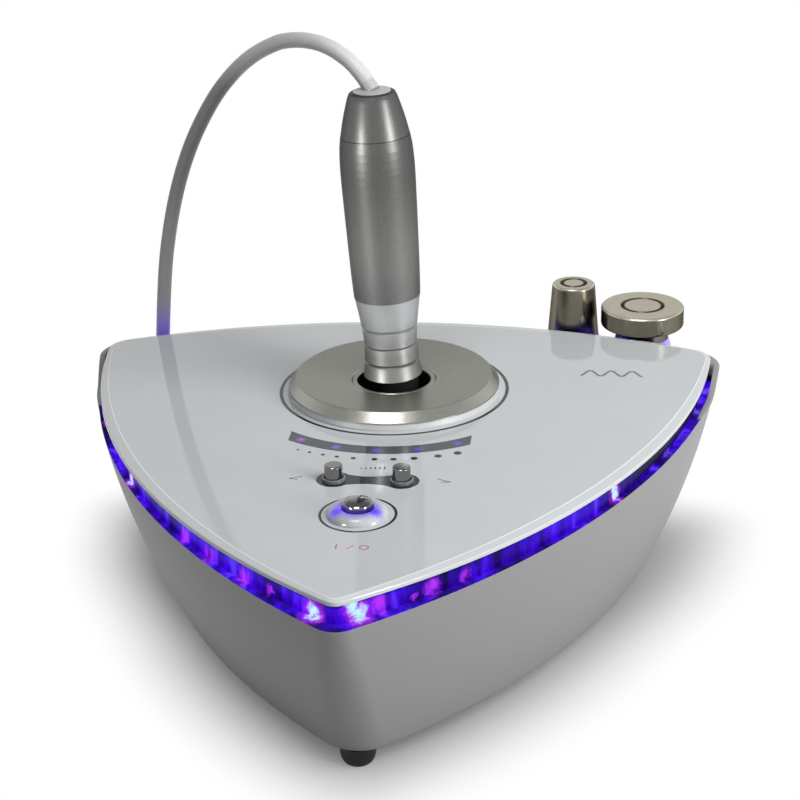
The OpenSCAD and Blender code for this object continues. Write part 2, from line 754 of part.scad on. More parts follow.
// ---- Spare heads on their shelf ----

shelf_screw_x = [62, 84];
shelf_screw_z = 58;

head_places = [[small_x, small_y], [large_x, large_y]];

// The shelf: a pad that follows the wall, a tray with round ends, and three gussets below it
module head_shelf() {
    left = small_x - shelf_r;
    right = large_x + 12;
    pad_t = 2.5;
    gusset_t = 2.5;
    gusset_y = 88;
    gusset_foot = 12;
    gusset_head = 32;
    tray_low = shelf_top - shelf_t;
    reach = head_places[1] - head_places[0];
    color("silver") difference() {
        union() {
            intersection() {
                translate([left, 80, shelf_low]) cube([right - left, 50, 20]);
                wall_solid(pad_t + tiny, [48, 60, 72]);
            }
            translate([0, 0, tray_low]) linear_extrude(shelf_t) {
                for (p = head_places) translate(p) circle(r = shelf_r);
                translate(head_places[0]) rotate([0, 0, bearing([0, 0], reach)])
                    translate([0, -shelf_r]) square([norm(reach), 2 * shelf_r]);
                polygon([[left, small_y], [left, 80], [right, 80], [right, large_y],
                    [large_x, large_y]]);
            }
            for (x = [left + 2, (small_x + large_x - gusset_t) / 2, large_x + 8])
                translate([x, gusset_y, 0]) rotate([90, 0, 90]) linear_extrude(gusset_t)
                    polygon([[0, shelf_low], [gusset_foot, shelf_low],
                        [gusset_head, tray_low + tiny], [0, tray_low + tiny]]);
        }
        wall_solid(tiny, [40, 52, 64, 74]);
        for (x = shelf_screw_x) on_back_wall(x, shelf_screw_z)
            translate([0, 0, -over]) cylinder(r = screw_r + 0.05, h = 14);
        at_places(head_places) rod(peg_r + 0.2, tray_low - over, shelf_top + over);
    }
}

module shelf_screws() {
    color("silver") for (x = shelf_screw_x) on_back_wall(x, shelf_screw_z)
        translate([0, 0, -wall_t - 0.9 - head_h]) screw(0, 6.5);
}

// Translucent seat: a round foot, a cone up to the head, a spigot above and a peg below
module head_seat(top, spigot) {
    foot = 12.9;
    collar = 11.3;
    cone_h = 4.8;
    rotate_extrude() polygon([[0, shelf_top - shelf_t], [peg_r, shelf_top - shelf_t],
        [peg_r, shelf_top], [foot - 0.4, shelf_top], [foot, shelf_top + 0.4],
        [foot, top - cone_h], [collar, top], [spigot_r, top], [spigot_r, top + spigot - 1],
        [spigot_r - 1, top + spigot], [0, top + spigot]]);
}

module small_head_seat() {
    color([0.8, 0.75, 1, 0.7]) at_places([head_places[0]]) head_seat(small_seat_top, 11);
}

module large_head_seat() {
    color([0.8, 0.75, 1, 0.7]) at_places([head_places[1]]) head_seat(large_seat_top, 6);
}

// The heads are turned; a thin groove rings the middle of each one's working face
module small_head() {
    z0 = small_seat_top + 0.2;
    z1 = plate_top + 16.4;
    foot = small_r + 1.8;
    round = 1.3;
    groove = 5;
    bore = spigot_r + 0.3;
    color([0.7, 0.67, 0.62]) at_places([head_places[0]]) rotate_extrude() polygon(concat(
        [[bore, z0], [foot - 0.3, z0], [foot, z0 + 0.4], [foot - 0.2, z0 + 3]],
        [for (a = [5 : 17 : 90]) [small_r - round, z1 - round] + polar(round, a)],
        [[groove + 0.4, z1], [groove, z1 - 0.4], [groove - 0.4, z1], [0, z1],
         [0, z0 + 12.3], [bore, z0 + 12.3]]));
}

module large_head() {
    z0 = large_seat_top + 0.2;
    z1 = plate_top + 9.6;
    disc_z = z1 - 8.5;
    stem = 11.2;
    round = 1.2;
    groove = 8.5;
    bore = spigot_r + 0.3;
    color([0.7, 0.67, 0.62]) at_places([head_places[1]]) rotate_extrude() polygon(concat(
        [[bore, z0], [stem, z0], [stem, disc_z]],
        [for (a = [-90 : 15 : 90]) [large_r - round, a > 0 ? z1 - round : disc_z + round]
            + polar(round, a)],
        [[groove + 0.45, z1], [groove, z1 - 0.45], [groove - 0.45, z1], [0, z1],
         [0, z0 + 7], [bore, z0 + 7]]));
}

// ---- Handpiece: s is the height along its leaning axis ----

neck_top = 33;
body_top = 97;
cap_top = 113.8;
grommet_h = 0.8;
hand_inner_r = 11.6;

module leaning() {
    translate(hand_base) rotate([0, -hand_lean, 0]) children();
}

// The neck: a skirt, a waist with three turned grooves, and a flare up to the body
module handpiece_neck() {
    groove_d = 0.7;
    bore = 9.2;
    side = [for (p = smooth_curve([[1.1, 0], [0.35, 5], [0.05, 11], [0, 14.5], [0.4, 19.5],
        [1.2, 25.5], [2.4, neck_top]], 1.5)) [hand_waist_r + p[0], p[1]]];
    color("silver") leaning() difference() {
        rotate_extrude() polygon(concat([[bore, 0]], side, [[bore, neck_top]]));
        for (s = [6.2, 13.3, 20.4]) translate([0, 0, s]) rotate_extrude()
            polygon([[hand_waist_r - groove_d, 0], [hand_waist_r + 2, -1.6], [hand_waist_r + 2, 1.6]]);
    }
}

module handpiece_body() {
    side = smooth_curve([[hand_r - 1.3, neck_top], [hand_r - 0.9, 42], [hand_r - 0.5, 57],
        [hand_r - 0.2, 70], [hand_r, 81], [hand_r - 0.05, 87], [hand_r - 0.4, 93],
        [hand_r - 1, body_top]], 4);
    color([0.55, 0.55, 0.57]) leaning() rotate_extrude() polygon(concat(
        [[hand_inner_r, neck_top], [hand_r - 1.6, neck_top]], side, [[hand_inner_r, body_top]]));
}

module handpiece_cap() {
    low = body_top + 0.2;
    hole = 3.6;
    side = smooth_curve([[hand_r - 1.1, low], [hand_r - 2.1, 102], [hand_r - 3.1, 106],
        [hand_r - 4.2, 109.8], [hand_r - 4.9, 112], [hand_r - 5.5, cap_top - 0.5],
        [hand_r - 6.4, cap_top]], 1.5);
    color([0.6, 0.6, 0.62]) leaning() rotate_extrude() polygon(concat(
        [[hand_inner_r, low]], side, [[hole, cap_top], [hole, cap_top - 2.5],
         [7, cap_top - 2.5], [hand_inner_r - 1.1, low + 4]]));
}

// A pale disc that closes the cap, and the short boot that the cable leaves by
module handpiece_grommet() {
    r = 7.2;
    boot_l = 4;
    gap = 0.3;
    exit = arch_route[0];
    way = unit(arch_route[1] - exit);
    color("whitesmoke") {
        leaning() rotate_extrude() polygon(concat([[0, cap_top], [r, cap_top]],
            [for (k = [0 : 4]) [r * (1 - 0.13 * k), cap_top + grommet_h * (0.4 + 0.15 * k)]],
            [[0, cap_top + grommet_h]]));
        translate(exit - (boot_l + gap) * way)
            rotate([0, acos(way[2]), atan2(way[1], way[0])]) cylinder(d = cable_d, h = boot_l);
    }
}

module handpiece_core() {
    color("white") leaning() rotate_extrude() polygon([[1.6, 1], [9, 1], [9, neck_top + 1],
        [11.4, neck_top + 1], [11.4, neck_top + 9], [9, neck_top + 9], [9, 96], [1.6, 96]]);
}

module handpiece_contact() {
    color("gold") leaning() rotate_extrude() polygon([[0, -16], [1, -16], [1.4, -15],
        [1.4, 24], [0, 24]]);
}

module handpiece_nose() {
    color([0.08, 0.08, 0.09]) leaning() rotate_extrude() polygon([[1.5, -12], [6.8, -12],
        [6.8, -8], [10, -8], [10, -0.1], [9.1, -0.1], [9.1, 0.9], [1.5, 0.9]]);
}

// The head that is fitted: it plugs over the nose and its round electrode points down
module fitted_head() {
    low = -34;
    color("gainsboro") leaning() rotate_extrude() polygon(concat(
        [[0, low]],
        [for (a = [-90 : 15 : 0]) [fitted_r - 1.5, low + 1.5] + polar(1.5, a)],
        [[fitted_r, low + 7], [fitted_r - 1.6, low + 9], [9.2, low + 11], [9.2, -8.1],
         [6.9, -8.1], [6.9, -16.4], [0, -16.4]]));
}

// ---- Handpiece cable ----

module at_plug() {
    translate([socket_x, bay_floor, ports_z]) rotate([-90, 0, 0]) children();
}

module cable_plug() {
    color("silver") at_plug() rotate_extrude() polygon([[0, -1.2], [4.4, -1.2], [4.4, 2.1],
        [5.6, 2.1], [5.6, 24], [5, 24.6], [0, 24.6]]);
}

module plug_sleeve() {
    flutes = 16;
    color("dimgray") at_plug() translate([0, 0, 5]) difference() {
        cylinder(r = 7, h = 15);
        translate([0, 0, -over]) cylinder(r = 5.7, h = 17);
        for (i = [0 : flutes - 1]) rotate([0, 0, 360 * i / flutes]) translate([7.2, 0, 3])
            cylinder(r = 0.6, h = 9, $fn = 4);
    }
}

module cable_relief() {
    color([0.1, 0.1, 0.11]) at_plug() difference() {
        rotate_extrude() polygon([[0, 24.6], [5, 24.6], [5, 27], [3.9, 44], [0, 44]]);
        for (z = [29 : 4 : 41]) translate([0, 0, z]) difference() {
            cylinder(r = 6, h = 1.2);
            translate([0, 0, -over]) cylinder(r = 3.5, h = 4);
        }
    }
}

module handpiece_cable() {
    color("lightgray") {
        tube(smooth_curve(arch_route, 14), cable_d);
        tube(smooth_curve(tail_route, 14), cable_d);
    }
}

// Two turns side by side and two high
module cable_coil() {
    flank = cable_d;
    color("lightgray") translate([coil_x, coil_y, coil_lift]) rotate_extrude() polygon([
        for (corner = [[1, 0], [1, 1], [0, 1], [0, 0]], a = [0 : 30 : 90])
            [coil_turn_r - flank / 2, cable_d / 2] + [corner[0] * flank, corner[1] * cable_d]
            + polar(cable_d / 2, a - 90 + (corner[0] == 1 ? 90 * corner[1]
                : 90 * (3 - corner[1])))]);
}

module cable_tie() {
    w = 5;
    t = 0.8;
    gap = 0.3;
    span = 2 * cable_d + 2 * gap;
    color([0.1, 0.1, 0.11]) translate([coil_x, coil_y, 0]) rotate([0, 0, 20])
        translate([coil_turn_r - cable_d - gap - t, -w / 2, 0]) difference() {
            cube([span + 2 * t, w, span + 2 * t]);
            translate([t, -over, t - tiny]) cube([span, w + 2 * over, span + tiny]);
        }
}

housing();
light_band();
led_strip();
edge_leds();
reflector();
deck();
top_plate();
base_plate();
base_screws();
feet();
foot_screws();
dock_trim();
dock_disc();
dock_cup();
dock_pad();
dock_screws();
level_collars();
power_collar();
level_down_cap();
level_up_cap();
power_cap();
control_board();
board_screws();
button_switches();
level_leds();
power_leds();
rf_board();
board_standoffs();
transformer_core();
transformer_winding();
heat_sink();
power_transistor();
capacitors();
connector_bay();
inlet_body();
inlet_pins();
inlet_screws();
panel_socket();
socket_nut();
socket_contacts();
head_shelf();
shelf_screws();
small_head_seat();
large_head_seat();
small_head();
large_head();
handpiece_neck();
handpiece_body();
handpiece_cap();
handpiece_grommet();
handpiece_core();
handpiece_contact();
handpiece_nose();
fitted_head();
cable_plug();
plug_sleeve();
cable_relief();
handpiece_cable();
cable_coil();
cable_tie();
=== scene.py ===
# %% [markdown]
# # Dressing a desktop facial toning unit
#
# The unit is a low console with a curved triangular plan. A glossy plate lies on top, a violet
# window glows below its edge, and a silver shell narrows to three feet. A corded handpiece
# stands in a round dock, and two spare treatment heads stand on a shelf behind.
#
# The solid model comes in as a fixed frame, in metres. Sizes are easier to read in millimetres,
# so they are written in those here, and a mesh gets its points in metres at the last moment.

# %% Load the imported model
import math

import bpy
import numpy as np
from mathutils import Matrix


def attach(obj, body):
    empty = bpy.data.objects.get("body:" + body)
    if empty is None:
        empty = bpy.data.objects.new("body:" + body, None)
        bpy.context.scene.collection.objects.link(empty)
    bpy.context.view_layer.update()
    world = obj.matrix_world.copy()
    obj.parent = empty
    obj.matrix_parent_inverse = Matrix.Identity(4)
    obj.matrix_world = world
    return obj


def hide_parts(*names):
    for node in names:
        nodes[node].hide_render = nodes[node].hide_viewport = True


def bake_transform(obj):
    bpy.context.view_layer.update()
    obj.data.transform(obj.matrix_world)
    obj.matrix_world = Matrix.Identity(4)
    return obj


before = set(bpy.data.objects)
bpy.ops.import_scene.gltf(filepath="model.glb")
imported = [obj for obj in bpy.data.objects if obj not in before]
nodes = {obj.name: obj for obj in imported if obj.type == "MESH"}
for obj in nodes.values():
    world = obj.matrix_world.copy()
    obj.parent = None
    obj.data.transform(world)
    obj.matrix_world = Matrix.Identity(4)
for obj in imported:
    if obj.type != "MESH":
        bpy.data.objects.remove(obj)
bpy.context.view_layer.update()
MM = 0.001

# %% [markdown]
# ## The camera
#
# The unit is seen from the front, a little from the right and from above, through a long lens.
# Yaw, pitch and roll give three unit vectors, and those are the columns of the camera's matrix.

# %% Place the camera
LENS = 85.13
YAW, PITCH, ROLL = (math.radians(a) for a in (6.871, 23.234, -1.468))
TARGET = np.array([3.585, 27.437, 87.0]) * MM
DISTANCE = 743.82 * MM

back = np.array([math.sin(YAW) * math.cos(PITCH), -math.cos(YAW) * math.cos(PITCH),
                 math.sin(PITCH)])
level = np.array([math.cos(YAW), math.sin(YAW), 0.0])
upward = np.cross(level, -back)
across = math.cos(ROLL) * level + math.sin(ROLL) * upward
above = -math.sin(ROLL) * level + math.cos(ROLL) * upward

camera = bpy.data.objects.new("camera", bpy.data.cameras.new("camera"))
camera.data.lens = LENS
camera.matrix_world = Matrix.Translation(TARGET + DISTANCE * back) @ Matrix(
    np.column_stack([across, above, back]).tolist()
).to_4x4()
bpy.context.scene.collection.objects.link(camera)
bpy.context.scene.camera = camera
print("camera", [round(x / MM) for x in camera.matrix_world.translation], "mm")

# %% [markdown]
# ## From arrays to a mesh
#
# Each new surface is a grid of points, rows by columns, worked out as one array. One helper
# turns any grid into faces. A grid always closes round its columns, as a tube does. It may also
# close along its rows, as the section of a ring does. Open ends are closed with a flat cap.

# %% Grids of points become meshes
def grid_faces(rows, columns, wrap_rows):
    """Faces of a grid that closes round its columns: each joins a point to its right, upper
    right and upper neighbours, and the last row to the first if wrap_rows says so."""
    i = np.arange(rows if wrap_rows else rows - 1)[:, None]
    j = np.arange(columns)[None, :]
    up, right = (i + 1) % rows, (j + 1) % columns
    corners = [i * columns + j, i * columns + right, up * columns + right, up * columns + j]
    return np.stack(corners, axis=-1).reshape(-1, 4)


def mesh_object(name, points, faces, uv=None, crease=30):
    """An object with these points (millimetres) and faces, smooth except where it turns more
    than crease degrees. uv holds one pair for each corner of each face."""
    mesh = bpy.data.meshes.new(name)
    mesh.from_pydata((np.asarray(points) * MM).tolist(), [], [list(map(int, f)) for f in faces])
    if uv is not None:
        mesh.uv_layers.new(name="UVMap").data.foreach_set("uv", np.ravel(uv).astype(np.float32))
    mesh.polygons.foreach_set("use_smooth", np.ones(len(mesh.polygons), bool))
    mesh.set_sharp_from_angle(angle=math.radians(crease))
    mesh.validate()
    made = bpy.data.objects.new(name, mesh)
    bpy.context.scene.collection.objects.link(made)
    return made


def skin(name, rings, ring_closed=False, shares=None, crease=30):
    """Skin over a stack of rings, each an array of points. It is closed from the last ring to
    the first, or capped at both ends. Shares, one for each ring or for each of its points,
    become the v of its UV map."""
    rings = np.asarray(rings)
    rows, columns = rings.shape[:2]
    faces = grid_faces(rows, columns, ring_closed).tolist()
    if not ring_closed:
        faces += [list(range(columns))[::-1], list(range((rows - 1) * columns, rows * columns))]
    uv = None
    if shares is not None:
        share_grid = np.broadcast_to(np.reshape(shares, (rows, -1)), (rows, columns))
        v = share_grid.ravel()[np.concatenate(faces)]
        uv = np.column_stack([np.zeros(len(v)), v])
    return mesh_object(name, rings.reshape(-1, 3), faces, uv, crease)


def lathe(name, profile, middle, steps=96):
    """Round body turned about an upright axis: each profile point (radius, height) becomes a
    circle, radius times the cosine and sine of the angle."""
    angle = np.linspace(0, 2 * np.pi, steps, endpoint=False)
    r, z = np.asarray(profile, float).T
    x = middle[0] + r[:, None] * np.cos(angle)
    y = middle[1] + r[:, None] * np.sin(angle)
    points = np.stack([x, y, np.broadcast_to(z[:, None], x.shape)], axis=-1)
    return skin(name, points)


def cut(piece, cutter):
    """Takes the cutter's volume out of the piece and deletes the cutter."""
    step = piece.modifiers.new("cut", "BOOLEAN")
    step.operation, step.solver, step.object = "DIFFERENCE", "EXACT", cutter
    whole = bpy.context.evaluated_depsgraph_get()
    old, new = piece.data, bpy.data.meshes.new_from_object(piece.evaluated_get(whole))
    piece.modifiers.clear()
    piece.data = new
    new.name = piece.name
    bpy.data.meshes.remove(old)
    bpy.data.objects.remove(cutter)


# %% [markdown]
# ## The handpiece's cable
#
# The cable leaves the handpiece's cap, goes over in one arch to the left and down behind the
# console. The length that isn't needed lies behind it in a tied coil, and the end goes up to a
# screwed plug in the back. A cable could be a curve object with a bevel. Here it is a mesh: a
# round profile carried along the path.

# %% The cable's route
ARCH = [[-7.5, 40, 211], [-9.6, 41.2, 213.6], [-14, 43.9, 217.6], [-19, 46.8, 220.5],
        [-24.2, 49.9, 222.4], [-29.2, 52.9, 223.1], [-34.5, 56.1, 223.05], [-40.4, 59.7, 222],
        [-45.9, 63, 220], [-55.3, 68.8, 214.4], [-64.5, 74.5, 206.4], [-74.4, 80.7, 194.6],
        [-84.2, 86.7, 178.7], [-91.3, 90.8, 163.6], [-97, 94, 147.5], [-101.6, 96.5, 130],
        [-105, 98.6, 112], [-108.4, 100.6, 84], [-110, 101.5, 62], [-110.5, 103.5, 42],
        [-110, 107, 25], [-105, 113, 11], [-95, 117, 4.5], [-82, 118.5, 3], [-60, 118, 3],
        [-30, 116, 3], [-5, 115.2, 3.4]]
TAIL = [[-2, 182, 9.4], [-18, 180, 11], [-32, 176, 16], [-44, 170, 26], [-52, 162, 36],
        [-56.5, 153, 42], [-58, 147, 43], [-58, 141, 43]]
CABLE_D = 6.0
COIL_MIDDLE = (15, 149)
OUTER_TURN, INNER_TURN = 34.0, 28.0
LOW_TURN, HIGH_TURN = 3.8, 9.8


def eased(u):
    """Smooth step: three times u squared less twice u cubed, with u held between 0 and 1."""
    u = np.clip(u, 0, 1)
    return u * u * (3 - 2 * u)


def coil(turned):
    """Points of the coil after turning so many degrees. The radius and the height change in
    short eased stretches, each where the next place is already free."""
    inward = eased((turned - 288) / 70) - eased((turned - 925) / 70)
    rise = eased((turned - 605) / 70)
    r = OUTER_TURN + (INNER_TURN - OUTER_TURN) * inward
    z = LOW_TURN + (HIGH_TURN - LOW_TURN) * rise
    a = np.radians(turned - 90)
    return np.column_stack([COIL_MIDDLE[0] + r * np.cos(a), COIL_MIDDLE[1] + r * np.sin(a), z])


def curve_through(points, steps):
    """Catmull-Rom curve: on each stretch a cubic that passes its two ends, with the slope at
    each end along the line between that end's neighbours."""
    p = np.asarray(points, float)
    p = np.vstack([p[:1], p, p[-1:]])
    t = (np.arange(steps) / steps)[None, :, None]
    a, b, c, d = (p[k : len(p) - 3 + k][:, None, :] for k in range(4))
    cubic = (3 * b - a - 3 * c + d) * t + (2 * a - 5 * b + 4 * c - d)
    curve = b + ((cubic * t) + (c - a)) * t / 2
    return np.vstack([curve.reshape(-1, 3), p[-1:]])


route = np.vstack([ARCH, coil(np.arange(0, 1261, 15.0)), TAIL])
lead_path = curve_through(route, 6)

# %% The cable as a tube
def carried_frames(path):
    """Directions along and across a path, the second turned as little as possible from one
    point to the next."""
    along = np.gradient(path, axis=0)
    along /= np.linalg.norm(along, axis=1, keepdims=True)
    side = np.empty_like(along)
    side[0] = np.cross(along[0], [0.2, 0.9, 0.4])
    side[0] /= np.linalg.norm(side[0])
    for k in range(1, len(path)):
        left = side[k - 1] - (side[k - 1] @ along[k]) * along[k]
        side[k] = left / np.linalg.norm(left)
    return along, side


def tube(name, path, diameter, sides=24):
    """Tube: at each point of the path a circle, half the diameter times the cosine of the
    angle across it and the sine of the angle along the third direction."""
    along, side = carried_frames(path)
    third = np.cross(along, side)
    a = np.linspace(0, 2 * np.pi, sides, endpoint=False)[None, :, None]
    rings = path[:, None] + diameter / 2 * (np.cos(a) * side[:, None] + np.sin(a) * third[:, None])
    return skin(name, rings)


SUNK = 0.3
first = lead_path[1] - lead_path[0]
start = lead_path[0] - SUNK * first / np.linalg.norm(first)
lead = tube("handpiece_lead", np.vstack([start, lead_path]), CABLE_D)
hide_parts("handpiece_cable", "cable_coil")
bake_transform(lead)
print("tube of", len(lead.data.polygons), "faces")

# %% [markdown]
# ## A curved triangle
#
# The plate, the window and the shell share one kind of outline: three side arcs of the same
# radius, and a small arc that blends each pair at a corner. It could be drawn once as a curve
# and offset, but offsetting a curve is never exact. An arc's offset is an arc, so the outline
# is worked out from its centres, and moving it in or out only changes the radii.

# %% Outline from six arcs
class Outline:
    """A curved triangle: the distance between its sharp corners, the bow of its sides, the
    radius of the front tip and of the two back corners, and the middle's y, in millimetres."""

    def __init__(self, side, bow, tip, corner, middle):
        self.values = np.array([side, bow, tip, corner, middle], float)
        self.radius = (side**2 / 4 + bow**2) / (2 * bow)
        self.shift = self.radius - side / (2 * math.sqrt(3)) - bow
        self.corners, self.middle = (corner, corner, tip), middle

    def towards(self, other, share):
        """The outline between this one and another, at one share or at one for each value."""
        return Outline(*(self.values + (other.values - self.values) * share))

    def points(self, e=0.0, side_steps=72, corner_steps=28):
        """Points anticlockwise from the front tip, moved outwards by e. Each arc is its centre
        plus its radius times the cosine and sine of an evenly spaced angle."""
        turn = np.radians([-30, 90, 210])
        base = np.array([0, self.middle])
        unit = lambda a: np.stack([np.cos(a), np.sin(a)], axis=-1)
        sides = base - self.shift * unit(turn)
        small = np.maximum(np.array(self.corners) + e, 0.8)
        free = self.radius + e - small
        reach = (-self.shift + np.sqrt(4 * free**2 - 3 * self.shift**2)) / 2
        blends = base + reach[:, None] * unit(turn + math.pi / 3)
        bearing = lambda v: np.arctan2(v[:, 1], v[:, 0])
        start = bearing(np.roll(blends, 1, axis=0) - sides)
        sweep = (bearing(blends - sides) - start + np.pi) % (2 * np.pi) - np.pi
        bend = (np.roll(start, -1) - start - sweep + np.pi) % (2 * np.pi) - np.pi
        arcs = []
        for i in range(3):
            u = np.arange(side_steps) / side_steps
            arcs.append(sides[i] + (self.radius + e) * unit(start[i] + sweep[i] * u))
            u = np.arange(corner_steps) / corner_steps
            arcs.append(blends[i] + small[i] * unit(start[i] + sweep[i] + bend[i] * u))
        return np.vstack(arcs)


plate = Outline(253.8, 29.3, 5, 10.5, 11.7)
flat = Outline(250.2, 26.1, 4, 9, 11.7)
rim = Outline(260.6, 27.5, 9, 16, 11.7)
base = Outline(220.8, 21.7, 15.7, 54, 23.6)
around = plate.points()
print("plate", np.ptp(around, axis=0).round(1), "mm across,", len(around), "points round")

# %% [markdown]
# ## The plate
#
# The real plate is a thick glossy sheet with a polished bevel all round. Its rings go up the
# edge and in along the bevel, from the outer outline towards that of the flat top, where they
# stop. The share of that way becomes the v of its UV map, which later places a bright line on
# the bevel, a painted highlight. The holes for the dock and the buttons are cut afterwards, as a
# router would.

# %% Plate with its bevel and holes
PLATE_TOP, PLATE_T = 87.0, 2.2
PLATE_LOW = PLATE_TOP - PLATE_T
DOCK_Y, LEVEL_X, LEVEL_Y, POWER_Y = 39.0, 12.3, -45.6, -72.7


def at_height(ring, z):
    """A flat outline lifted to a height, which may differ from point to point."""
    return np.column_stack([ring, np.broadcast_to(z, len(ring))])


EDGE_STEPS = [(-0.3, PLATE_LOW), (0, PLATE_LOW + 0.3), (0, PLATE_TOP - 0.75),
              (-0.08, PLATE_TOP - 0.6)]
BEVEL_STEPS = [(0.06, 0.48), (0.9, 0.05), (0.97, 0.01), (1.0, 0.0), (1.06, 0.0)]
HOLES = [(0, DOCK_Y, 18), (-LEVEL_X, LEVEL_Y, 3.7), (LEVEL_X, LEVEL_Y, 3.7), (0, POWER_Y, 8)]

edge_ring, flat_ring = plate.points(), flat.points()
edge_rows = [at_height(plate.points(e), z) for e, z in EDGE_STEPS]
bevel_rows = [at_height(edge_ring + (flat_ring - edge_ring) * u, PLATE_TOP - drop)
              for u, drop in BEVEL_STEPS]
cover = skin("cover_plate", edge_rows + bevel_rows, crease=25,
             shares=[0.0] * len(EDGE_STEPS) + [u for u, _ in BEVEL_STEPS])
for x, y, r in HOLES:
    cut(cover, lathe("cutter", [(r, PLATE_LOW - 1), (r, PLATE_TOP + 1)], (x, y)))
facing_up = np.zeros(len(cover.data.polygons) * 3)
cover.data.polygons.foreach_get("normal", facing_up)
cover.data.polygons.foreach_set("use_smooth", np.abs(facing_up[2::3]) < 0.99999)
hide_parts("top_plate")
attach(cover, "console")
print("plate of", len(cover.data.polygons), "faces")

# %% [markdown]
# ## The shell
#
# The shell swells a little between its feet and its rim, and the two ends have different
# outlines, so no plain sweep makes it. Each ring is the outline at its share of the height,
# moved outwards by a parabola. Its two back corners grow sharper quickly near the top, which
# makes the rim stand out there. The same stack of rings goes on over the rim and down inside
# as the wall.

# %% Wall of the shell
SHELL_LOW, WINDOW_H, BELLY, WALL_T = 7.9, 7.6, 2.4, 2.5
LEDGE_Z = PLATE_LOW - WINDOW_H


def wall_ring(z, e=0.0, haste=1.0):
    """Outline of the shell at a height: base towards rim by the share of the height u, moved
    out by four times the belly times u times 1 - u. The back corners' radius follows 1 - u
    raised to the power haste."""
    u = (z - SHELL_LOW) / (LEDGE_Z - SHELL_LOW)
    share = np.array([u, u, u, 1 - (1 - u) ** haste, u])
    return at_height(base.towards(rim, share).points(e + BELLY * 4 * u * (1 - u)), z)


ROUNDED_FOOT = [(SHELL_LOW, -0.8), (SHELL_LOW + 0.25, -0.25), (SHELL_LOW + 0.8, 0)]
outer_wall = [wall_ring(z, e) for z, e in ROUNDED_FOOT]
outer_wall += [wall_ring(z, haste=0.8) for z in np.linspace(11, LEDGE_Z - 1.2, 34)]
inner_wall = [wall_ring(z, -WALL_T) for z in np.linspace(LEDGE_Z - 1.5, SHELL_LOW, 12)]
print(len(outer_wall), "rings outside,", len(inner_wall), "inside")

# %% [markdown]
# Outside the window the shell ends in a rim. At the two back corners it flares by a millimetre
# and rises to the plate's edge, and further along it comes down to a narrow ledge, on which the
# light of the window falls. So the rim's height, its flare and its width all depend on the way
# to the nearest back corner, in eased steps from one value to the other. How far each point is
# lit goes into the UV map, for the paint.

# %% Rim that rises at the back corners
LEDGE_IN, LEDGE_T, STEP_IN = 10.5, 1.5, 1.6
LIP_H, LIP_W, FLARE, RISE_END, FLARE_END = 0.4, 1.9, 1.1, 7, 34
rim_ring, rim_out = rim.points(), rim.points(1.0)
back_corners = [rim_ring[np.argmax(rim_ring @ [side, 0.5])] for side in (0.866, -0.866)]
away = np.min([np.linalg.norm(rim_ring - c, axis=1) for c in back_corners], axis=0)
lip_top, lip_low = PLATE_LOW - 0.3, LEDGE_Z + LIP_H
opened = eased((away - RISE_END) / 10)
lip_z = lip_top + (lip_low - lip_top) * eased((away - RISE_END) / 22)
gap_z = lip_top + (lip_low - lip_top) * opened
outward = FLARE * (1 - eased((away - FLARE_END) / 24))
far = eased((away - FLARE_END) / 28)


def lip_ring(e):
    """The rim's outline with its flare, moved out by e: on the line from each point of the
    outline to the same point of the outline one millimetre further out."""
    return rim_ring + (rim_out - rim_ring) * (outward + e)[:, None]


unlit, width = np.zeros(len(away)), LIP_W * (1 - far)
lip = [(lip_ring(0), lip_z - LIP_H, far * 0.4), (lip_ring(-0.12), lip_z - 0.12, far),
       (lip_ring(-LIP_H), lip_z, far), (lip_ring(-LIP_H - width), lip_z, far),
       (lip_ring(-LIP_H - 0.15 - width), gap_z, opened),
       (plate.points(-STEP_IN), gap_z, opened), (plate.points(-STEP_IN), LEDGE_Z, opened),
       (plate.points(-LEDGE_IN), LEDGE_Z, opened),
       (plate.points(-LEDGE_IN), LEDGE_Z - LEDGE_T, unlit)]
lip_rows = [at_height(ring, z) for ring, z, _ in lip]
shares = [unlit] * len(outer_wall) + [lit for *_, lit in lip] + [unlit] * len(inner_wall)
shell = skin("console_shell", outer_wall + lip_rows + inner_wall, ring_closed=True, shares=shares)
print("rim from", lip_z.min().round(1), "to", lip_z.max().round(1), "mm high")

# %% [markdown]
# The mains inlet and the handpiece's socket stand in a recess in the back, which is a solid
# piece of its own. So the shell only needs an opening for it, and a plain box cuts that out.

# %% Opening for the mains inlet's bay
BAY_X, BAY_Y, BAY_Z = (-80.4, 20.4), (82, 142), (19.6, 66.4)
bay_corners = [[[x, y, z] for x, y in [(BAY_X[0], BAY_Y[0]), (BAY_X[1], BAY_Y[0]),
                                       (BAY_X[1], BAY_Y[1]), (BAY_X[0], BAY_Y[1])]]
               for z in BAY_Z]
cut(shell, skin("cutter", bay_corners))
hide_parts("housing")
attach(shell, "console")
print("shell of", len(shell.data.polygons), "faces")

# %% [markdown]
# ## The window
#
# The window is a clear moulded wall that stands on the ledge, set back from the plate's edge. Its
# outline is the plate's, moved inwards, so it is a ring of four outlines and nothing more. What
# makes it a window is its light, which comes with the materials.

# %% The window that the light comes through
BAND_IN, BAND_T = 1.9, 3.0
window = skin("light_window", [at_height(plate.points(e), z) for e, z in [
    (-BAND_IN, LEDGE_Z), (-BAND_IN, PLATE_LOW), (-BAND_IN - BAND_T, PLATE_LOW),
    (-BAND_IN - BAND_T, LEDGE_Z)]], ring_closed=True)
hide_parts("light_band")
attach(window, "console")
print("window of", len(window.data.polygons), "faces")

# %% [markdown]
# ## Writing materials as sums
#
# A material is easier to read as arithmetic than as a web of nodes. A small class wraps a
# socket, and an operator on it adds the Math node that does that sum. Vectors, such as a place
# on the object, go through Vector Math, and colours through Mix.

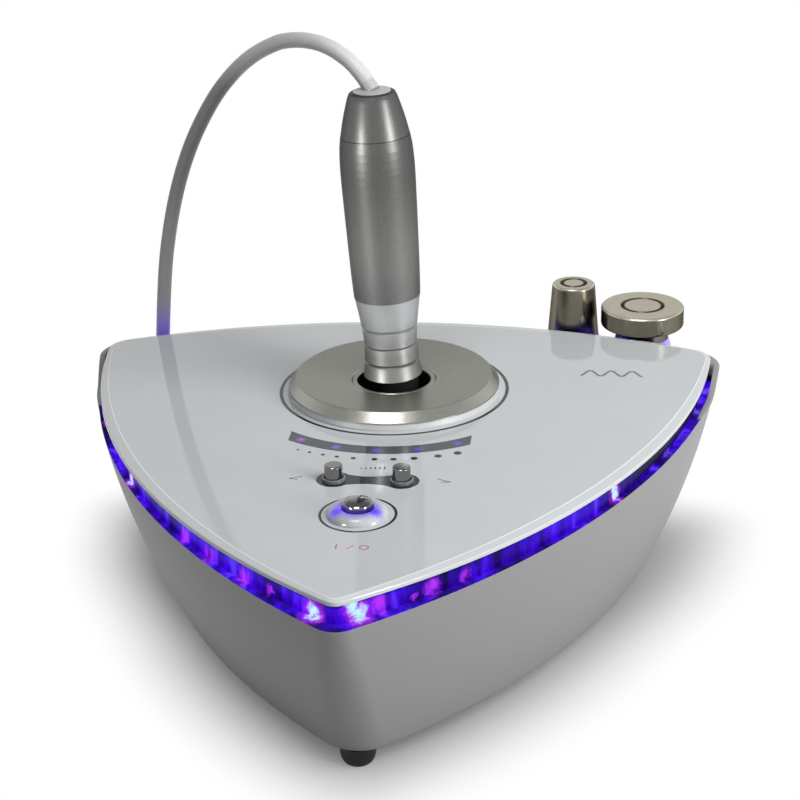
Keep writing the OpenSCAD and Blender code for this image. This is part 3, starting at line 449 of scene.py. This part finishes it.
# %% A socket that takes part in sums
class Value:
    """A wrapped socket. Arithmetic on it adds Math nodes."""

    def __init__(self, tree, socket):
        self.tree, self.socket = tree, socket

    def math(self, operation, *others):
        """Result of a Math node of this operation on this value and others."""
        return self.tree.node("Math", {"operation": operation}, dict(enumerate((self, *others))))

    def vector(self, operation, *others, output="Vector"):
        """Result of a Vector Math node, which for a length or a distance is its Value."""
        return self.tree.node("VectorMath", {"operation": operation},
                              dict(enumerate((self, *others))), output)

    def __add__(self, other):
        return self.math("ADD", other)

    def __mul__(self, other):
        return self.math("MULTIPLY", other)

    __radd__, __rmul__ = __add__, __mul__

    def __sub__(self, other):
        return self.math("SUBTRACT", other)

    def __rsub__(self, other):
        return self.tree.node("Math", {"operation": "SUBTRACT"}, {0: other, 1: self})

    def __or__(self, other):
        """The larger of two masks: where either one is."""
        return self.math("MAXIMUM", other)

    def rise(self, low, high):
        """Mask that goes smoothly from 0 at low to 1 at high, or the other way round."""
        return self.tree.node("MapRange", {"interpolation_type": "SMOOTHSTEP"},
                              {"Value": self, "From Min": low, "From Max": high})

    def near(self, middle, half, soft=0.12):
        """Mask of a band: 1 up to half a width away from the middle, with soft edges."""
        return (self - middle).math("ABSOLUTE").rise(half + soft, half - soft)

    def parts(self):
        """The x, y and z of a vector."""
        split = self.tree.node("SeparateXYZ", {}, {"Vector": self}, None)
        return [Value(self.tree, s) for s in split.outputs]


# %% A tree of nodes, and a material
class Tree:
    """A node tree, with one method that adds any node."""

    def __init__(self, tree):
        self.tree = tree

    def plug(self, socket, value):
        """Links a wrapped socket, or sets a constant."""
        if isinstance(value, Value):
            self.tree.links.new(value.socket, socket)
        elif socket.type == "RGBA" and len(value) == 3:
            socket.default_value = (*value, 1)
        else:
            socket.default_value = value

    def node(self, kind, settings, inputs, output=0):
        """Adds a shader node of this kind, sets its settings, then its sockets. It returns one
        output, or the node itself where output is None."""
        made = self.tree.nodes.new("ShaderNode" + kind)
        for key, value in settings.items():
            setattr(made, key, value)
        for key, value in inputs.items():
            self.plug(made.inputs[key], value)
        return made if output is None else Value(self, made.outputs[output])

    def mix(self, factor, first, second):
        """Colour between the first, at factor 0, and the second, at factor 1."""
        return self.node("Mix", {"data_type": "RGBA"}, {0: factor, 6: first, 7: second}, 2)

    def place(self):
        """Where a point is on the object, in metres."""
        return self.node("TexCoord", {}, {}, "Object")

    def uv(self):
        """A point's place on the piece's own UV map."""
        return self.node("TexCoord", {}, {}, "UV")

    def place_mm(self, origin=(0, 0, 0)):
        """Where a point is on the object, in millimetres from an origin."""
        scaled = self.place().vector("SCALE")
        scaled.socket.node.inputs["Scale"].default_value = 1000
        return scaled.vector("SUBTRACT", origin)

    def noise(self, scale, detail=2.0, stretch=None):
        """Cloudy noise with so many blobs in a metre, stretched along the axes if asked."""
        where = self.place()
        if stretch:
            where = where.vector("MULTIPLY", stretch)
        return self.node("TexNoise", {}, {"Vector": where, "Scale": scale, "Detail": detail})


class Paint(Tree):
    """A material with one Principled shader. Keywords set its constant sockets."""

    def __init__(self, name, **constants):
        self.material = bpy.data.materials.new(name)
        self.material.use_nodes = True
        super().__init__(self.material.node_tree)
        self.shader = self.tree.nodes["Principled BSDF"]
        for socket, value in constants.items():
            self.set(socket.replace("_", " "), value)

    def set(self, socket, value):
        """Fills a socket of the shader and hands the material on."""
        self.plug(self.shader.inputs[socket], value)
        return self

    def bump(self, height, strength, distance):
        """Normal that rises and falls with a height."""
        return self.set("Normal", self.node(
            "Bump", {}, {"Height": height, "Strength": strength, "Distance": distance}))


def dress(paint, *names):
    """Puts a material on solid nodes or new pieces, by name."""
    for name in names:
        piece = nodes[name] if name in nodes else bpy.data.objects[name]
        if piece.data.materials:
            for k in range(len(piece.data.materials)):
                piece.data.materials[k] = paint.material
        else:
            piece.data.materials.append(paint.material)
    print(paint.material.name, "on", ", ".join(names))


def shade(colour, share):
    """A colour made darker or lighter by a share."""
    return tuple(min(c * (1 + share), 1.0) for c in colour)


# %% [markdown]
# ## Plain finishes with a grain
#
# Moulded plastic, blasted metal and paint all vary a little: in tone, in gloss and in the
# height of the surface. One noise drives all three at the scale of that finish. A picture of a
# surface could do it too, but noise has no seams and no end. Some metals also get painted
# shading: their tone changes from one end of the piece to the other, standing for light and shade.

# %% One maker for every grained finish
def grained(name, colour, roughness, grain=900, tint=0.06, depth=0.02, stretch=None, painted_shading=None,
            **constants):
    """Finish whose colour, roughness and height follow one noise. Grain counts the blobs in a
    metre, tint is the share by which the colour varies and depth is in millimetres. Painted
    shading is a second colour and two heights in millimetres, standing for light or shade: the
    finish has that colour below the first and its own above the second."""
    paint = Paint(name, **constants)
    cloud = paint.noise(grain, stretch=stretch)
    tone = paint.mix(cloud, shade(colour, -tint), shade(colour, tint))
    # Painted shading: a second colour by height that stands for light or shade.
    if painted_shading:
        lower, low, high = painted_shading
        other = paint.mix(cloud, shade(lower, -tint), shade(lower, tint))
        tone = paint.mix(paint.place_mm().parts()[2].rise(high, low), tone, other)
    paint.set("Base Color", tone)
    paint.set("Roughness", cloud * 0.1 + (roughness - 0.05))
    return paint.bump(cloud, 0.3, depth * MM)


dress(grained("white_plastic", (0.72, 0.73, 0.73), 0.3, tint=0.02),
      "deck", "reflector", "led_strip", "handpiece_core")
dress(grained("trim_plastic", (0.43, 0.445, 0.45), 0.4, tint=0.02), "dock_trim")
dress(grained("dark_plastic", (0.075, 0.075, 0.08), 0.5),
      "base_plate", "connector_bay", "plug_sleeve")
dress(grained("black_plastic", (0.012, 0.012, 0.013), 0.14, depth=0.004),
      "button_switches", "power_transistor", "inlet_body", "dock_cup", "handpiece_nose")
dress(grained("black_rubber", (0.008, 0.008, 0.009), 0.5, Specular_IOR_Level=0.25),
      "feet", "dock_pad", "cable_relief", "cable_tie")
dress(grained("pale_rubber", (0.4, 0.4, 0.39), 0.45), "handpiece_grommet")

# %% The parts inside and at the back
dress(grained("screw_steel", (0.5, 0.5, 0.51), 0.28, grain=2500, Metallic=1.0), "base_screws",
      "foot_screws", "dock_screws", "board_screws", "inlet_screws", "shelf_screws", "inlet_pins")
dress(grained("plated_metal", (0.5, 0.5, 0.51), 0.25, grain=1800, Metallic=1.0),
      "cable_plug", "panel_socket", "socket_nut")
dress(grained("brass_fitting", (0.68, 0.5, 0.2), 0.25, grain=1800, Metallic=1.0),
      "board_standoffs", "socket_contacts", "handpiece_contact")
dress(grained("circuit_board", (0.02, 0.14, 0.06), 0.35, grain=400, tint=0.15),
      "control_board", "rf_board")
dress(grained("ferrite", (0.06, 0.06, 0.065), 0.6, grain=1500), "transformer_core")
dress(grained("copper_winding", (0.6, 0.28, 0.11), 0.3, grain=300, tint=0.2,
              stretch=(1, 1, 14), Metallic=0.8), "transformer_winding")
dress(grained("bare_aluminium", (0.55, 0.56, 0.57), 0.35, grain=500, stretch=(1, 12, 1),
              Metallic=1.0), "heat_sink")
dress(grained("capacitor_sleeve", (0.02, 0.035, 0.13), 0.3), "capacitors")

# %% [markdown]
# ## The light in the window
#
# Behind the window a strip carries a few bright diodes between many dim ones, and the moulded
# plastic smears them upwards into streaks. So the window isn't one even glow: it is navy under
# the plate, where the darkening is painted shade of the plate's edge, violet below that, magenta
# round each diode, and nearly white in the brightest. The shell's narrow ledge in front of it
# catches the same light, so both materials share it.
#
# The glow is an emission colour and not a lamp, so it stays on the surface in every view.

# %% Diodes, by place and brightness
BRIGHT = [(-7.8, -128, 79.5, 3.2), (7.6, -128, 79.4, 3.2), (5.6, -129, 82.6, 2.6),
          (88.4, -37, 79.6, 2.3), (87.6, -37.6, 82.6, 2.3), (-90.6, -34, 79, 2.4),
          (-64, 103, 80, 2.6), (46, 107, 80, 2.6)]
DIM = [(13.5, -123, 80.5, 4.2), (23.8, -114.4, 79.5, 1.7), (29.3, -110, 80.6, 3.6),
       (39.2, -100.4, 80, 2.6), (107, 3.5, 79, 3.5), (113, 20, 79, 3.5), (119, 43, 79, 4),
       (123, 66, 79, 4), (-60.6, -77.6, 79, 3.4), (-49, -90.6, 79, 4), (-34.2, -105.4, 79, 4),
       (-24, -114.4, 79.6, 2.2), (-112, 20, 79, 3.6), (-8, 109, 79, 4), (18, 109, 79, 4)]


def window_light(paint):
    """Glow of the window as an emission colour: streaks of noise that run upwards, darker near
    the plate, which is painted shade under its edge, and on the far right, with round falls of
    light about the diodes."""
    where = paint.place_mm()
    x, _, z = where.parts()
    ripple = paint.node("TexNoise", {}, {"Vector": where, "Scale": 0.45}, "Color")
    ripple = ripple.vector("SUBTRACT", (0.5, 0.5, 0.5)).vector("MULTIPLY", (4, 4, 6))
    wavy = where.vector("ADD", ripple)
    streaks = paint.noise(260, detail=4.0, stretch=(1, 1, 0.2)).rise(0.36, 0.64)
    patches = paint.noise(60, detail=1.0, stretch=(1, 1, 0.4)).rise(0.4, 0.62)
    # Painted shade under the plate's edge, and darker on the far right.
    dusk = z.rise(84.4, 82.6) * (1 - x.rise(90, 101) * z.rise(78.2, 79.6) * 0.96)
    glow = (streaks * 0.55 + 0.35) * (patches * 0.65 + 0.35) * dusk
    glow = glow * (x.rise(-116, -98) * 0.7 + 0.3)
    colour = paint.mix(glow.rise(0, 0.7), (0.001, 0.0, 0.012), (0.05, 0.001, 0.8))
    colour = paint.mix((streaks * patches * dusk).rise(0.5, 1.0) * 0.5, colour, (0.16, 0.06, 1.0))

    def falls(spots, spread):
        """Mask that falls off round each spot, from its reach to its reach times spread."""
        total = None
        for *middle, reach in spots:
            away = wavy.vector("DISTANCE", tuple(middle), output="Value")
            fall = away.rise(reach * spread, reach * 0.35)
            total = fall if total is None else total | fall
        return total

    haze = paint.mix(x.rise(96, 104), (0.5, 0.035, 1.0), (0.17, 0.08, 0.9))
    hazy = falls(BRIGHT, 2.1) | falls(DIM, 1.25) * (streaks * 0.75 + 0.15)
    colour = paint.mix(hazy * dusk, colour, haze)
    return paint.mix(falls(BRIGHT, 1.15), colour, (0.55, 0.95, 1.0))


DARK = (0, 0, 0)
print(len(BRIGHT), "bright and", len(DIM), "dim diodes")

# %% The window's plastic
window_plastic = Paint("light_window", Roughness=0.3, Base_Color=(0.003, 0.001, 0.01),
                       Specular_IOR_Level=0.04, Emission_Strength=1.0)
window_plastic.set("Emission Color", window_light(window_plastic))
window_plastic.bump(window_plastic.noise(400, stretch=(1, 1, 0.3)), 0.25, 0.1 * MM)
dress(window_plastic, "light_window")

# %% [markdown]
# ## Silver paint
#
# The shell is moulded and sprayed with a satin silver. Under a lens such paint is fine flakes
# in clear lacquer over a faint orange peel. A fully metallic surface would mirror the floor, so
# only a part of it counts as metal here. The ledge below the window is the same paint, lit.

# %% Shell and shelf
def silver_paint(name, **constants):
    """Silver paint with its orange peel, and the colour and roughness of its flakes, which the
    caller sets."""
    paint = Paint(name, Metallic=0.1, Specular_IOR_Level=0.3, Specular_Tint=(0.4, 0.4, 0.4),
                  **constants)
    flakes = paint.noise(4200, detail=1.0)
    peel = paint.noise(420, detail=2.0)
    paint.bump(peel + flakes * 0.4, 0.25, 0.012 * MM)
    return paint, paint.mix(flakes, (0.238, 0.236, 0.238), (0.302, 0.3, 0.3)), flakes * 0.1 + 0.37


shell_paint, silver, satin = silver_paint("silver_shell", Emission_Strength=1.0)
lit_ledge = shell_paint.uv().parts()[1].rise(0.42, 0.62)
shell_paint.set("Base Color", shell_paint.mix(lit_ledge, silver, (0.004, 0.001, 0.016)))
shell_paint.set("Roughness", satin + lit_ledge * 0.5)
shell_paint.set("Emission Color", shell_paint.mix(lit_ledge, DARK, window_light(shell_paint)))
dress(shell_paint, "console_shell")
shelf_paint, silver, satin = silver_paint("shelf_paint")
dress(shelf_paint.set("Base Color", silver).set("Roughness", satin), "head_shelf")

# %% [markdown]
# ## What is printed on the plate
#
# The plate is pale sheet under a glossy clear layer, printed in dark grey: a ring round the
# dock and one round the power button, an arc that the level lights show through, a row of
# dots that grow with the level, and a dumb-bell under the two buttons. Every mark is a distance
# held against a width, so it is sharp at any zoom. The few signs are plain ones: rising bars,
# two arrow heads, a wave, and a line and a ring for on and off. Places are in millimetres from
# the dock's middle.

# %% Distances to draw with
def line_mask(where, points, half):
    """Mask of a pen line through points: the distance to each stretch, which is the distance
    to the nearest point at a share between its two ends, held under half the line's width."""
    total = None
    for a, b in zip(points[:-1], points[1:]):
        along = np.subtract([*b, 0], [*a, 0])
        reach = where.vector("SUBTRACT", (*a, 0.0))
        share = reach.vector("DOT_PRODUCT", tuple(along / (along @ along)), output="Value")
        share = share.math("MAXIMUM", 0).math("MINIMUM", 1)
        nearest = where.tree.node("VectorMath", {"operation": "SCALE"},
                                  {0: tuple(along), "Scale": share})
        mask = reach.vector("DISTANCE", nearest, output="Value").rise(half + 0.1, half - 0.1)
        total = mask if total is None else total | mask
    return total


def disc_mask(where, middle, radius, soft=0.12):
    """Mask of a round dot."""
    return where.vector("DISTANCE", (*middle, 0.0), output="Value").rise(radius + soft,
                                                                      radius - soft)


def ring_mask(where, middle, radius, half):
    """Mask of a ring: the distance to the middle is near its radius."""
    return where.vector("DISTANCE", (*middle, 0.0), output="Value").near(radius, half)


# %% The printed plate
LEVEL_ROW, POWER_ROW = LEVEL_Y - DOCK_Y, POWER_Y - DOCK_Y
DOCK_RING, POWER_RING, LIGHT_ARC, DOT_ARC = 45, 13.2, 58.8, 66.8
DOT_TURNS = (-115.9, -111.6, -106.8, -102, -96.6, -89.8, -83.8, -77.3, -69.6, -63.1)
ARROWS = [[(-25.6, -85.4), (-28.4, -84.8), (-24.3, -82.9)],
          [(26.6, -84.6), (29.7, -84.3), (25.1, -82.1)]]
BARS = [[(-3.6 + 1.7 * k, -75), (-3.6 + 1.7 * k, -74.6 + 0.32 * k)] for k in range(6)]
BELL_DISC, BELL_WAIST, BELL_BEND = 6.35, 3.1, 0.0215


def on_arc(radius, turn):
    """A place at this distance from the dock's middle and this angle in degrees."""
    return radius * math.cos(math.radians(turn)), radius * math.sin(math.radians(turn))


plate_paint = Paint("pale_plate", IOR=1.42, Emission_Strength=1.0)
plan = plate_paint.place_mm((0, DOCK_Y, 0)).vector("MULTIPLY", (1, 1, 0))
px, py, _ = plan.parts()
ink = ring_mask(plan, (0, 0), DOCK_RING, 0.7) | ring_mask(plan, (0, POWER_ROW), POWER_RING, 0.5)
for k, turn in enumerate(DOT_TURNS):
    ink = ink | disc_mask(plan, on_arc(DOT_ARC, turn), 0.6 + 0.1 * k)
for points, half in [(arrow, 0.22) for arrow in ARROWS] + [(bar, 0.28) for bar in BARS]:
    ink = ink | line_mask(plan, points, half)
print(len(DOT_TURNS), "dots and", len(BARS), "bars")

# %% [markdown]
# The dumb-bell is two discs and a neck between them whose half width grows with the square of
# x. The arc for the lights is a piece of a ring: the ring's mask times the masks of a band in x
# and of all that lies in front.

# %% Dumb-bell and arc
neck_half = px * px * BELL_BEND + BELL_WAIST
bell = (neck_half - (py - LEVEL_ROW).math("ABSOLUTE")).rise(-0.12, 0.12) * px.near(0, LEVEL_X)
for x in (-LEVEL_X, LEVEL_X):
    bell = bell | disc_mask(plan, (x, LEVEL_ROW), BELL_DISC)
level_bar = ring_mask(plan, (0, 0), LIGHT_ARC, 3.4) * px.near(0, 34.3) * py.rise(-10, -20)
print("dumb-bell", round(2 * (LEVEL_X + BELL_DISC), 1), "mm long")

# %% [markdown]
# The wave where the treatment's name would stand is a sine: the mask is where a point's y is
# near the sine of its x. The steep parts of the wave would come out thin, so the width grows
# there with the slope.

# %% Wave, and the signs for on and off
WAVE_X, WAVE_ROW, WAVE_HALF = 86, 20, 12.4
WAVE_RATE, WAVE_H = 0.75, 2.6
SIGN_ROW, SIGN_H = -136, 1.4
SIGN_TOP, SIGN_LOW = SIGN_ROW + SIGN_H, SIGN_ROW - SIGN_H

phase = px * WAVE_RATE
swing = phase.math("SINE") * WAVE_H
steep = phase.math("COSINE").math("ABSOLUTE") * 0.75 + 0.55
wave = (py - WAVE_ROW - swing).math("ABSOLUTE") - steep
wave = wave.rise(0.15, -0.15) * px.near(WAVE_X, WAVE_HALF)
signs = (line_mask(plan, [(-4.2, SIGN_TOP), (-4.2, SIGN_LOW)], 0.3)
         | ring_mask(plan, (5.2, SIGN_ROW), 1.45, 0.25)
         | line_mask(plan, [(-0.6, SIGN_LOW), (1.6, SIGN_TOP)], 0.22))
print("wave of", round(WAVE_HALF * 2 * WAVE_RATE / (2 * math.pi), 1), "turns")

# %% [markdown]
# The colours go on from the bottom up, as coats do: the sheet with a faint mottle, a paler band
# over the edge and the bevel, a bright line along the bevel that is a painted highlight, then
# each print. The lights under the arc are an emission colour, from magenta on the left to blue.

# %% Coats of the plate
mottle = plate_paint.noise(35, detail=1.0)
body = plate_paint.mix(mottle, (0.455, 0.475, 0.487), (0.49, 0.508, 0.52))
rim_share = plate_paint.uv().parts()[1]
bevel_highlight = rim_share.near(0.955, 0.045, 0.02)
# The bright line on the bevel is a painted highlight.
for mask, coat in [(rim_share.rise(0.99, 0.9) * 0.25, (0.6, 0.62, 0.62)),
                   (bevel_highlight * 0.75, (0.86, 0.87, 0.87)),
                   (level_bar, (0.05, 0.053, 0.068)),
                   (ink | bell, (0.015, 0.016, 0.024)),
                   (wave, (0.12, 0.125, 0.13)),
                   (signs * 0.85, (0.42, 0.06, 0.11))]:
    body = plate_paint.mix(mask, body, coat)
plate_paint.set("Base Color", body)
plate_paint.set("Roughness", plate_paint.noise(900) * 0.04 + 0.04)

LED_ARC, LED_TURNS = 59, (-120, -105, -90, -75, -60)
lights = None
for turn in LED_TURNS:
    core = disc_mask(plan, on_arc(LED_ARC, turn), 1.0, 1.6)
    lights = core if lights is None else lights | core
led_colour = plate_paint.mix(px.rise(-22, -8), (0.36, 0.05, 0.75), (0.06, 0.015, 0.72))
plate_paint.set("Emission Color", plate_paint.mix(lights, DARK, led_colour))
dress(plate_paint, "cover_plate")
print(len(plate_paint.tree.nodes), "nodes in the plate's material")

# %% [markdown]
# ## Metals
#
# The disc is aluminium, blasted with beads before it was anodised: an even grain with no
# direction. The handpiece is the same metal with a darker satin. Its body is painted paler lower
# down, which is painted light, and its neck is brighter and painted darker towards the dock,
# which is painted shade. The heads are plated with nickel, which is warm, and polished, so they
# show clear reflections. A dark tint at glancing angles keeps the white room out of their edges.

# %% Disc, handpiece and buttons
EDGE = (0.35, 0.35, 0.35)
dress(grained("disc_metal", (0.42, 0.418, 0.38), 0.3, grain=2000, tint=0.3, depth=0.15,
              Metallic=0.9, Specular_Tint=EDGE), "dock_disc")
dress(grained("button_metal", (0.24, 0.24, 0.24), 0.09, grain=1500, tint=0.03, depth=0.002,
              Metallic=1.0), "level_down_cap", "level_up_cap", "power_cap")
# Painted shade on the neck, darker towards the dock; painted light on the body, paler lower down.
dress(grained("neck_metal", (0.6, 0.61, 0.61), 0.42, grain=2500, tint=0.1, depth=0.02,
              painted_shading=((0.3, 0.3, 0.29), 102, 122), Metallic=0.85, Specular_Tint=EDGE),
      "handpiece_neck")
dress(grained("handpiece_satin", (0.115, 0.115, 0.112), 0.38, grain=2000, tint=0.26, depth=0.04,
              painted_shading=((0.2, 0.2, 0.194), 140, 182), Metallic=0.85, Specular_Tint=EDGE),
      "handpiece_body")
dress(grained("handpiece_polish", (0.125, 0.125, 0.122), 0.35, grain=2000, tint=0.24, depth=0.03,
              Metallic=0.85, Specular_Tint=EDGE), "handpiece_cap")

# %% Heads, paler on their end faces
def head_metal(name, middle, top, groove):
    """Nickel, dull and pale on the flat end that meets the skin, which lies at the height top,
    and dark in the groove turned round its middle at this radius."""
    paint = Paint(name, Metallic=1.0, Specular_Tint=EDGE)
    where = paint.place_mm((*middle, 0))
    away = where.vector("MULTIPLY", (1, 1, 0)).vector("LENGTH", output="Value")
    end = where.parts()[2].rise(top - 0.9, top - 0.4)
    worn = paint.noise(350, detail=4.0)
    side = paint.mix(worn, (0.16, 0.148, 0.115), (0.23, 0.212, 0.17))
    face = paint.mix(worn, (0.7, 0.645, 0.53), (0.9, 0.84, 0.7))
    colour = paint.mix(end, side, face)
    paint.set("Base Color", paint.mix(away.near(groove, 0.9, 0.3) * end * 0.9, colour,
                                      (0.04, 0.037, 0.03)))
    paint.set("Roughness", worn * 0.1 + end * 0.12 + 0.18)
    return paint.bump(paint.noise(2500), 0.1, 0.004 * MM)


dress(head_metal("small_head_nickel", middle=(69, 121), top=103.4, groove=5), "small_head")
dress(head_metal("large_head_nickel", middle=(98.6, 112.8), top=96.6, groove=8.5), "large_head")
dress(grained("head_nickel", (0.23, 0.21, 0.17), 0.16, Metallic=1.0), "fitted_head")

# %% [markdown]
# ## Clear plastic with light in it
#
# The power button stands in a frosted dome, and the spare heads on clear seats. Real light
# would bounce about inside them. A surface that glows in patches looks the same from outside
# and needs no light paths, so the glow is drawn: two lobes and a halo round the button, and
# clouds of light in each seat.

# %% Collars of the level buttons, pale round each button
COLLAR_IN = 3.75
collar = Paint("collar_plastic", Roughness=0.25)
inner = None
for x in (-LEVEL_X, LEVEL_X):
    beside = collar.place_mm((x, LEVEL_Y, 0)).vector("MULTIPLY", (1, 1, 0))
    ring = disc_mask(beside, (0, 0), COLLAR_IN)
    inner = ring if inner is None else inner | ring
tone = collar.noise(600)
dark_tone = collar.mix(tone, (0.1, 0.1, 0.12), (0.14, 0.14, 0.16))
pale_tone = collar.mix(tone, (0.5, 0.51, 0.52), (0.62, 0.63, 0.64))
dress(collar.set("Base Color", collar.mix(inner, dark_tone, pale_tone)), "level_collars")

# %% Frosted dome of the power button
LOBES = [(-6.4, -4.0, 0), (6.2, -3.6, 0)]
dome = Paint("power_dome", Roughness=0.22, Emission_Strength=1.0)
where = dome.place_mm((0, POWER_Y, 0)).vector("MULTIPLY", (1, 1, 0))
left_lobe, right_lobe = (
    where.vector("DISTANCE", lobe, output="Value").rise(4.4, 0.8) for lobe in LOBES)
halo = where.vector("LENGTH", output="Value").rise(10.2, 6.0) * where.parts()[1].rise(5, -2)
glow = left_lobe | right_lobe | halo * 0.75
frost = dome.noise(700)
frosted = dome.mix(frost, (0.38, 0.385, 0.4), (0.47, 0.475, 0.49))
dome.set("Base Color", dome.mix(glow, frosted, (0.05, 0.03, 0.2)))
dome.set("Emission Color", dome.mix(glow, DARK, (0.09, 0.03, 0.75)))
dress(dome.bump(frost, 0.3, 0.02 * MM), "power_collar")

# %% Seats and lights

seat = Paint("seat_plastic", Roughness=0.18, Emission_Strength=1.0)
haze = seat.noise(180, detail=3.0)
seat.set("Base Color", seat.mix(haze, (0.2, 0.15, 0.35), (0.4, 0.34, 0.6)))
seat.set("Emission Color", seat.mix(haze.rise(0.3, 0.7), (0.03, 0.01, 0.22), (0.13, 0.05, 0.7)))
dress(seat.bump(haze, 0.2, 0.05 * MM), "small_head_seat", "large_head_seat")

lens = Paint("led_lens", Roughness=0.1, Emission_Strength=1.0)
lens_cloud = lens.noise(800)
lens.set("Base Color", lens.mix(lens_cloud, (0.5, 0.4, 0.9), (0.7, 0.6, 1.0)))
lens.set("Emission Color", lens.mix(lens_cloud, (0.25, 0.08, 0.9), (0.4, 0.16, 1.0)))
dress(lens, "edge_leds", "level_leds", "power_leds")

# %% [markdown]
# ## The cable's jacket
#
# The jacket is soft grey plastic with a faint sheen. It is painted palest over the top of its
# arch and darker on the way down, which is painted shade. Where it passes behind the plate, the
# window lights it from close by, so it is violet there: that violet is painted light.

# %% Jacket
jacket = Paint("cable_jacket", Roughness=0.42, Emission_Strength=1.0)
cx, _, cz = jacket.place_mm().parts()
# Painted light: violet where the window lights the cable from close by.
lit = cz.rise(106, 84) * cz.rise(55, 75) * cx.rise(-95, -100)
sheen = jacket.noise(500, detail=3.0)
grey = jacket.mix(sheen, (0.5, 0.5, 0.505), (0.56, 0.56, 0.565))
# Painted shade: darker from the top of the arch on the way down.
shaded = cz.rise(218, 196) * 0.8 - cz.rise(165, 120) * 0.25
grey = jacket.mix(shaded, grey, (0.12, 0.12, 0.125))
jacket.set("Base Color", jacket.mix(lit * 0.8, grey, (0.1, 0.08, 0.25)))
jacket.set("Emission Color", jacket.mix(lit, DARK, (0.05, 0.03, 0.24)))
dress(jacket.bump(sheen, 0.1, 0.004 * MM), "handpiece_lead")

# %% [markdown]
# ## Studio
#
# The floor is plain and keeps the unit's soft shadow. Near the base it is also darker by its
# distance from the base alone, which is a painted shadow. It turns white a few centimetres out
# from the base, a little further out behind, so that no far edge shows. The way out from the
# base is the largest of the distances to its three side arcs, with the corners eased.

# %% Floor
def sight(tree):
    """1 on what is seen, in a mirror or through glass too, and 0 on what only gives light."""
    ray = tree.node("LightPath", {}, {}, None).outputs
    return (Value(tree, ray["Is Camera Ray"]) | Value(tree, ray["Is Glossy Ray"])
            | Value(tree, ray["Is Transmission Ray"]))


FLOOR_HALF, CORNER_EASE, BEHIND, SHADOW_EDGE = 3000, 30.0, 9, (-16, 38)
floor = mesh_object("floor", [[x * FLOOR_HALF, y * FLOOR_HALF, 0] for x, y in
                              [(-1, -1), (1, -1), (1, 1), (-1, 1)]], [[0, 1, 2, 3]])
ground = Paint("floor", Roughness=0.9, Base_Color=(0.35, 0.35, 0.35), Specular_IOR_Level=0.1)
spot = ground.place_mm().vector("MULTIPLY", (1, 1, 0))
beyond = None
for turn in (-30, 90, 210):
    a = math.radians(turn)
    middle = (-base.shift * math.cos(a), base.middle - base.shift * math.sin(a), 0.0)
    reach = spot.vector("DISTANCE", middle, output="Value") - base.radius
    beyond = reach if beyond is None else beyond.math("SMOOTH_MAX", reach, CORNER_EASE)
behind = spot.parts()[1].rise(-20, 60)
# Painted shadow: near the base the floor is less white by its distance from the base.
whiteness = sight(ground) * ((beyond - behind * BEHIND).rise(*SHADOW_EDGE) * 0.92 + 0.08)
white = ground.node("Emission", {}, {"Color": (1, 1, 1, 1), "Strength": 1.0})
lit_floor = ground.node("MixShader", {}, {
    0: whiteness, 1: Value(ground, ground.shader.outputs[0]), 2: white})
ground.plug(ground.tree.nodes["Material Output"].inputs["Surface"], lit_floor)
floor.data.materials.append(ground.material)
print("shadow fades out between", *SHADOW_EDGE, "mm from the base")

# %% [markdown]
# The surround is white at the level of the eye and greyer overhead, as a room with a dim
# ceiling is. Metal and gloss see that room too, and the grey above is what gives polished metal
# its dark parts. As a light it is weak, so that the lamps shape the unit.

# %% Surround
world = bpy.data.worlds.new("studio")
bpy.context.scene.world = world
world.use_nodes = True
sky = Tree(world.node_tree)
upwards = sky.node("TexCoord", {}, {}, "Generated").parts()[2]
backdrop = world.node_tree.nodes["Background"]
sky.plug(backdrop.inputs["Color"], sky.mix(upwards.rise(0.3, 0.75), (1, 1, 1), (0.3, 0.3, 0.31)))
sky.plug(backdrop.inputs["Strength"], sight(sky) * 0.8 + 0.2)
print("surround of strength 1 to the eye and 0.2 as a light")

# %% [markdown]
# Four lamps are enough. The key stands low in front on the right. The side lamp, higher on the
# right, reaches only matt surfaces, so it adds no highlight of its own. One hangs above. The
# last is a narrow strip low on the left that only gloss shows, which draws a second streak down
# the metal.

# %% Lamps
AIM = np.array([0, 0, 90]) * MM


def lamp(name, bearing, height, reach, sizes, level, mirrored=True, spread=True):
    """An area lamp at a bearing and a height in degrees and a distance in metres, turned
    towards the unit. Its power gives a white card that faces it this level: level times the
    square of pi times the distance. Mirrored says whether gloss shows it, and spread whether
    it lights matt surfaces."""
    light = bpy.data.lights.new(name, "AREA")
    light.shape, (light.size, light.size_y) = "RECTANGLE", sizes
    light.energy = level * (math.pi * reach) ** 2
    a, b = math.radians(bearing), math.radians(height)
    z = np.array([math.cos(a) * math.cos(b), math.sin(a) * math.cos(b), math.sin(b)])
    x = np.array([-math.sin(a), math.cos(a), 0])
    turn = Matrix(np.column_stack([x, np.cross(z, x), z]).tolist()).to_4x4()
    made = bpy.data.objects.new(name, light)
    made.matrix_world = Matrix.Translation(AIM + reach * z) @ turn
    made.visible_glossy, made.visible_diffuse = mirrored, spread
    bpy.context.scene.collection.objects.link(made)
    print(name, round(light.energy, 1), "W")


lamp("key", -28, 12, 1.5, (0.35, 0.5), 0.52)
lamp("side", -22, 40, 0.85, (0.5, 0.5), 0.8, mirrored=False)
lamp("top", -100, 66, 1.4, (0.5, 0.5), 0.42)
lamp("strip", -131, 3, 1.3, (0.12, 0.2), 0.5, spread=False)
bpy.context.scene.view_settings.view_transform = "Standard"
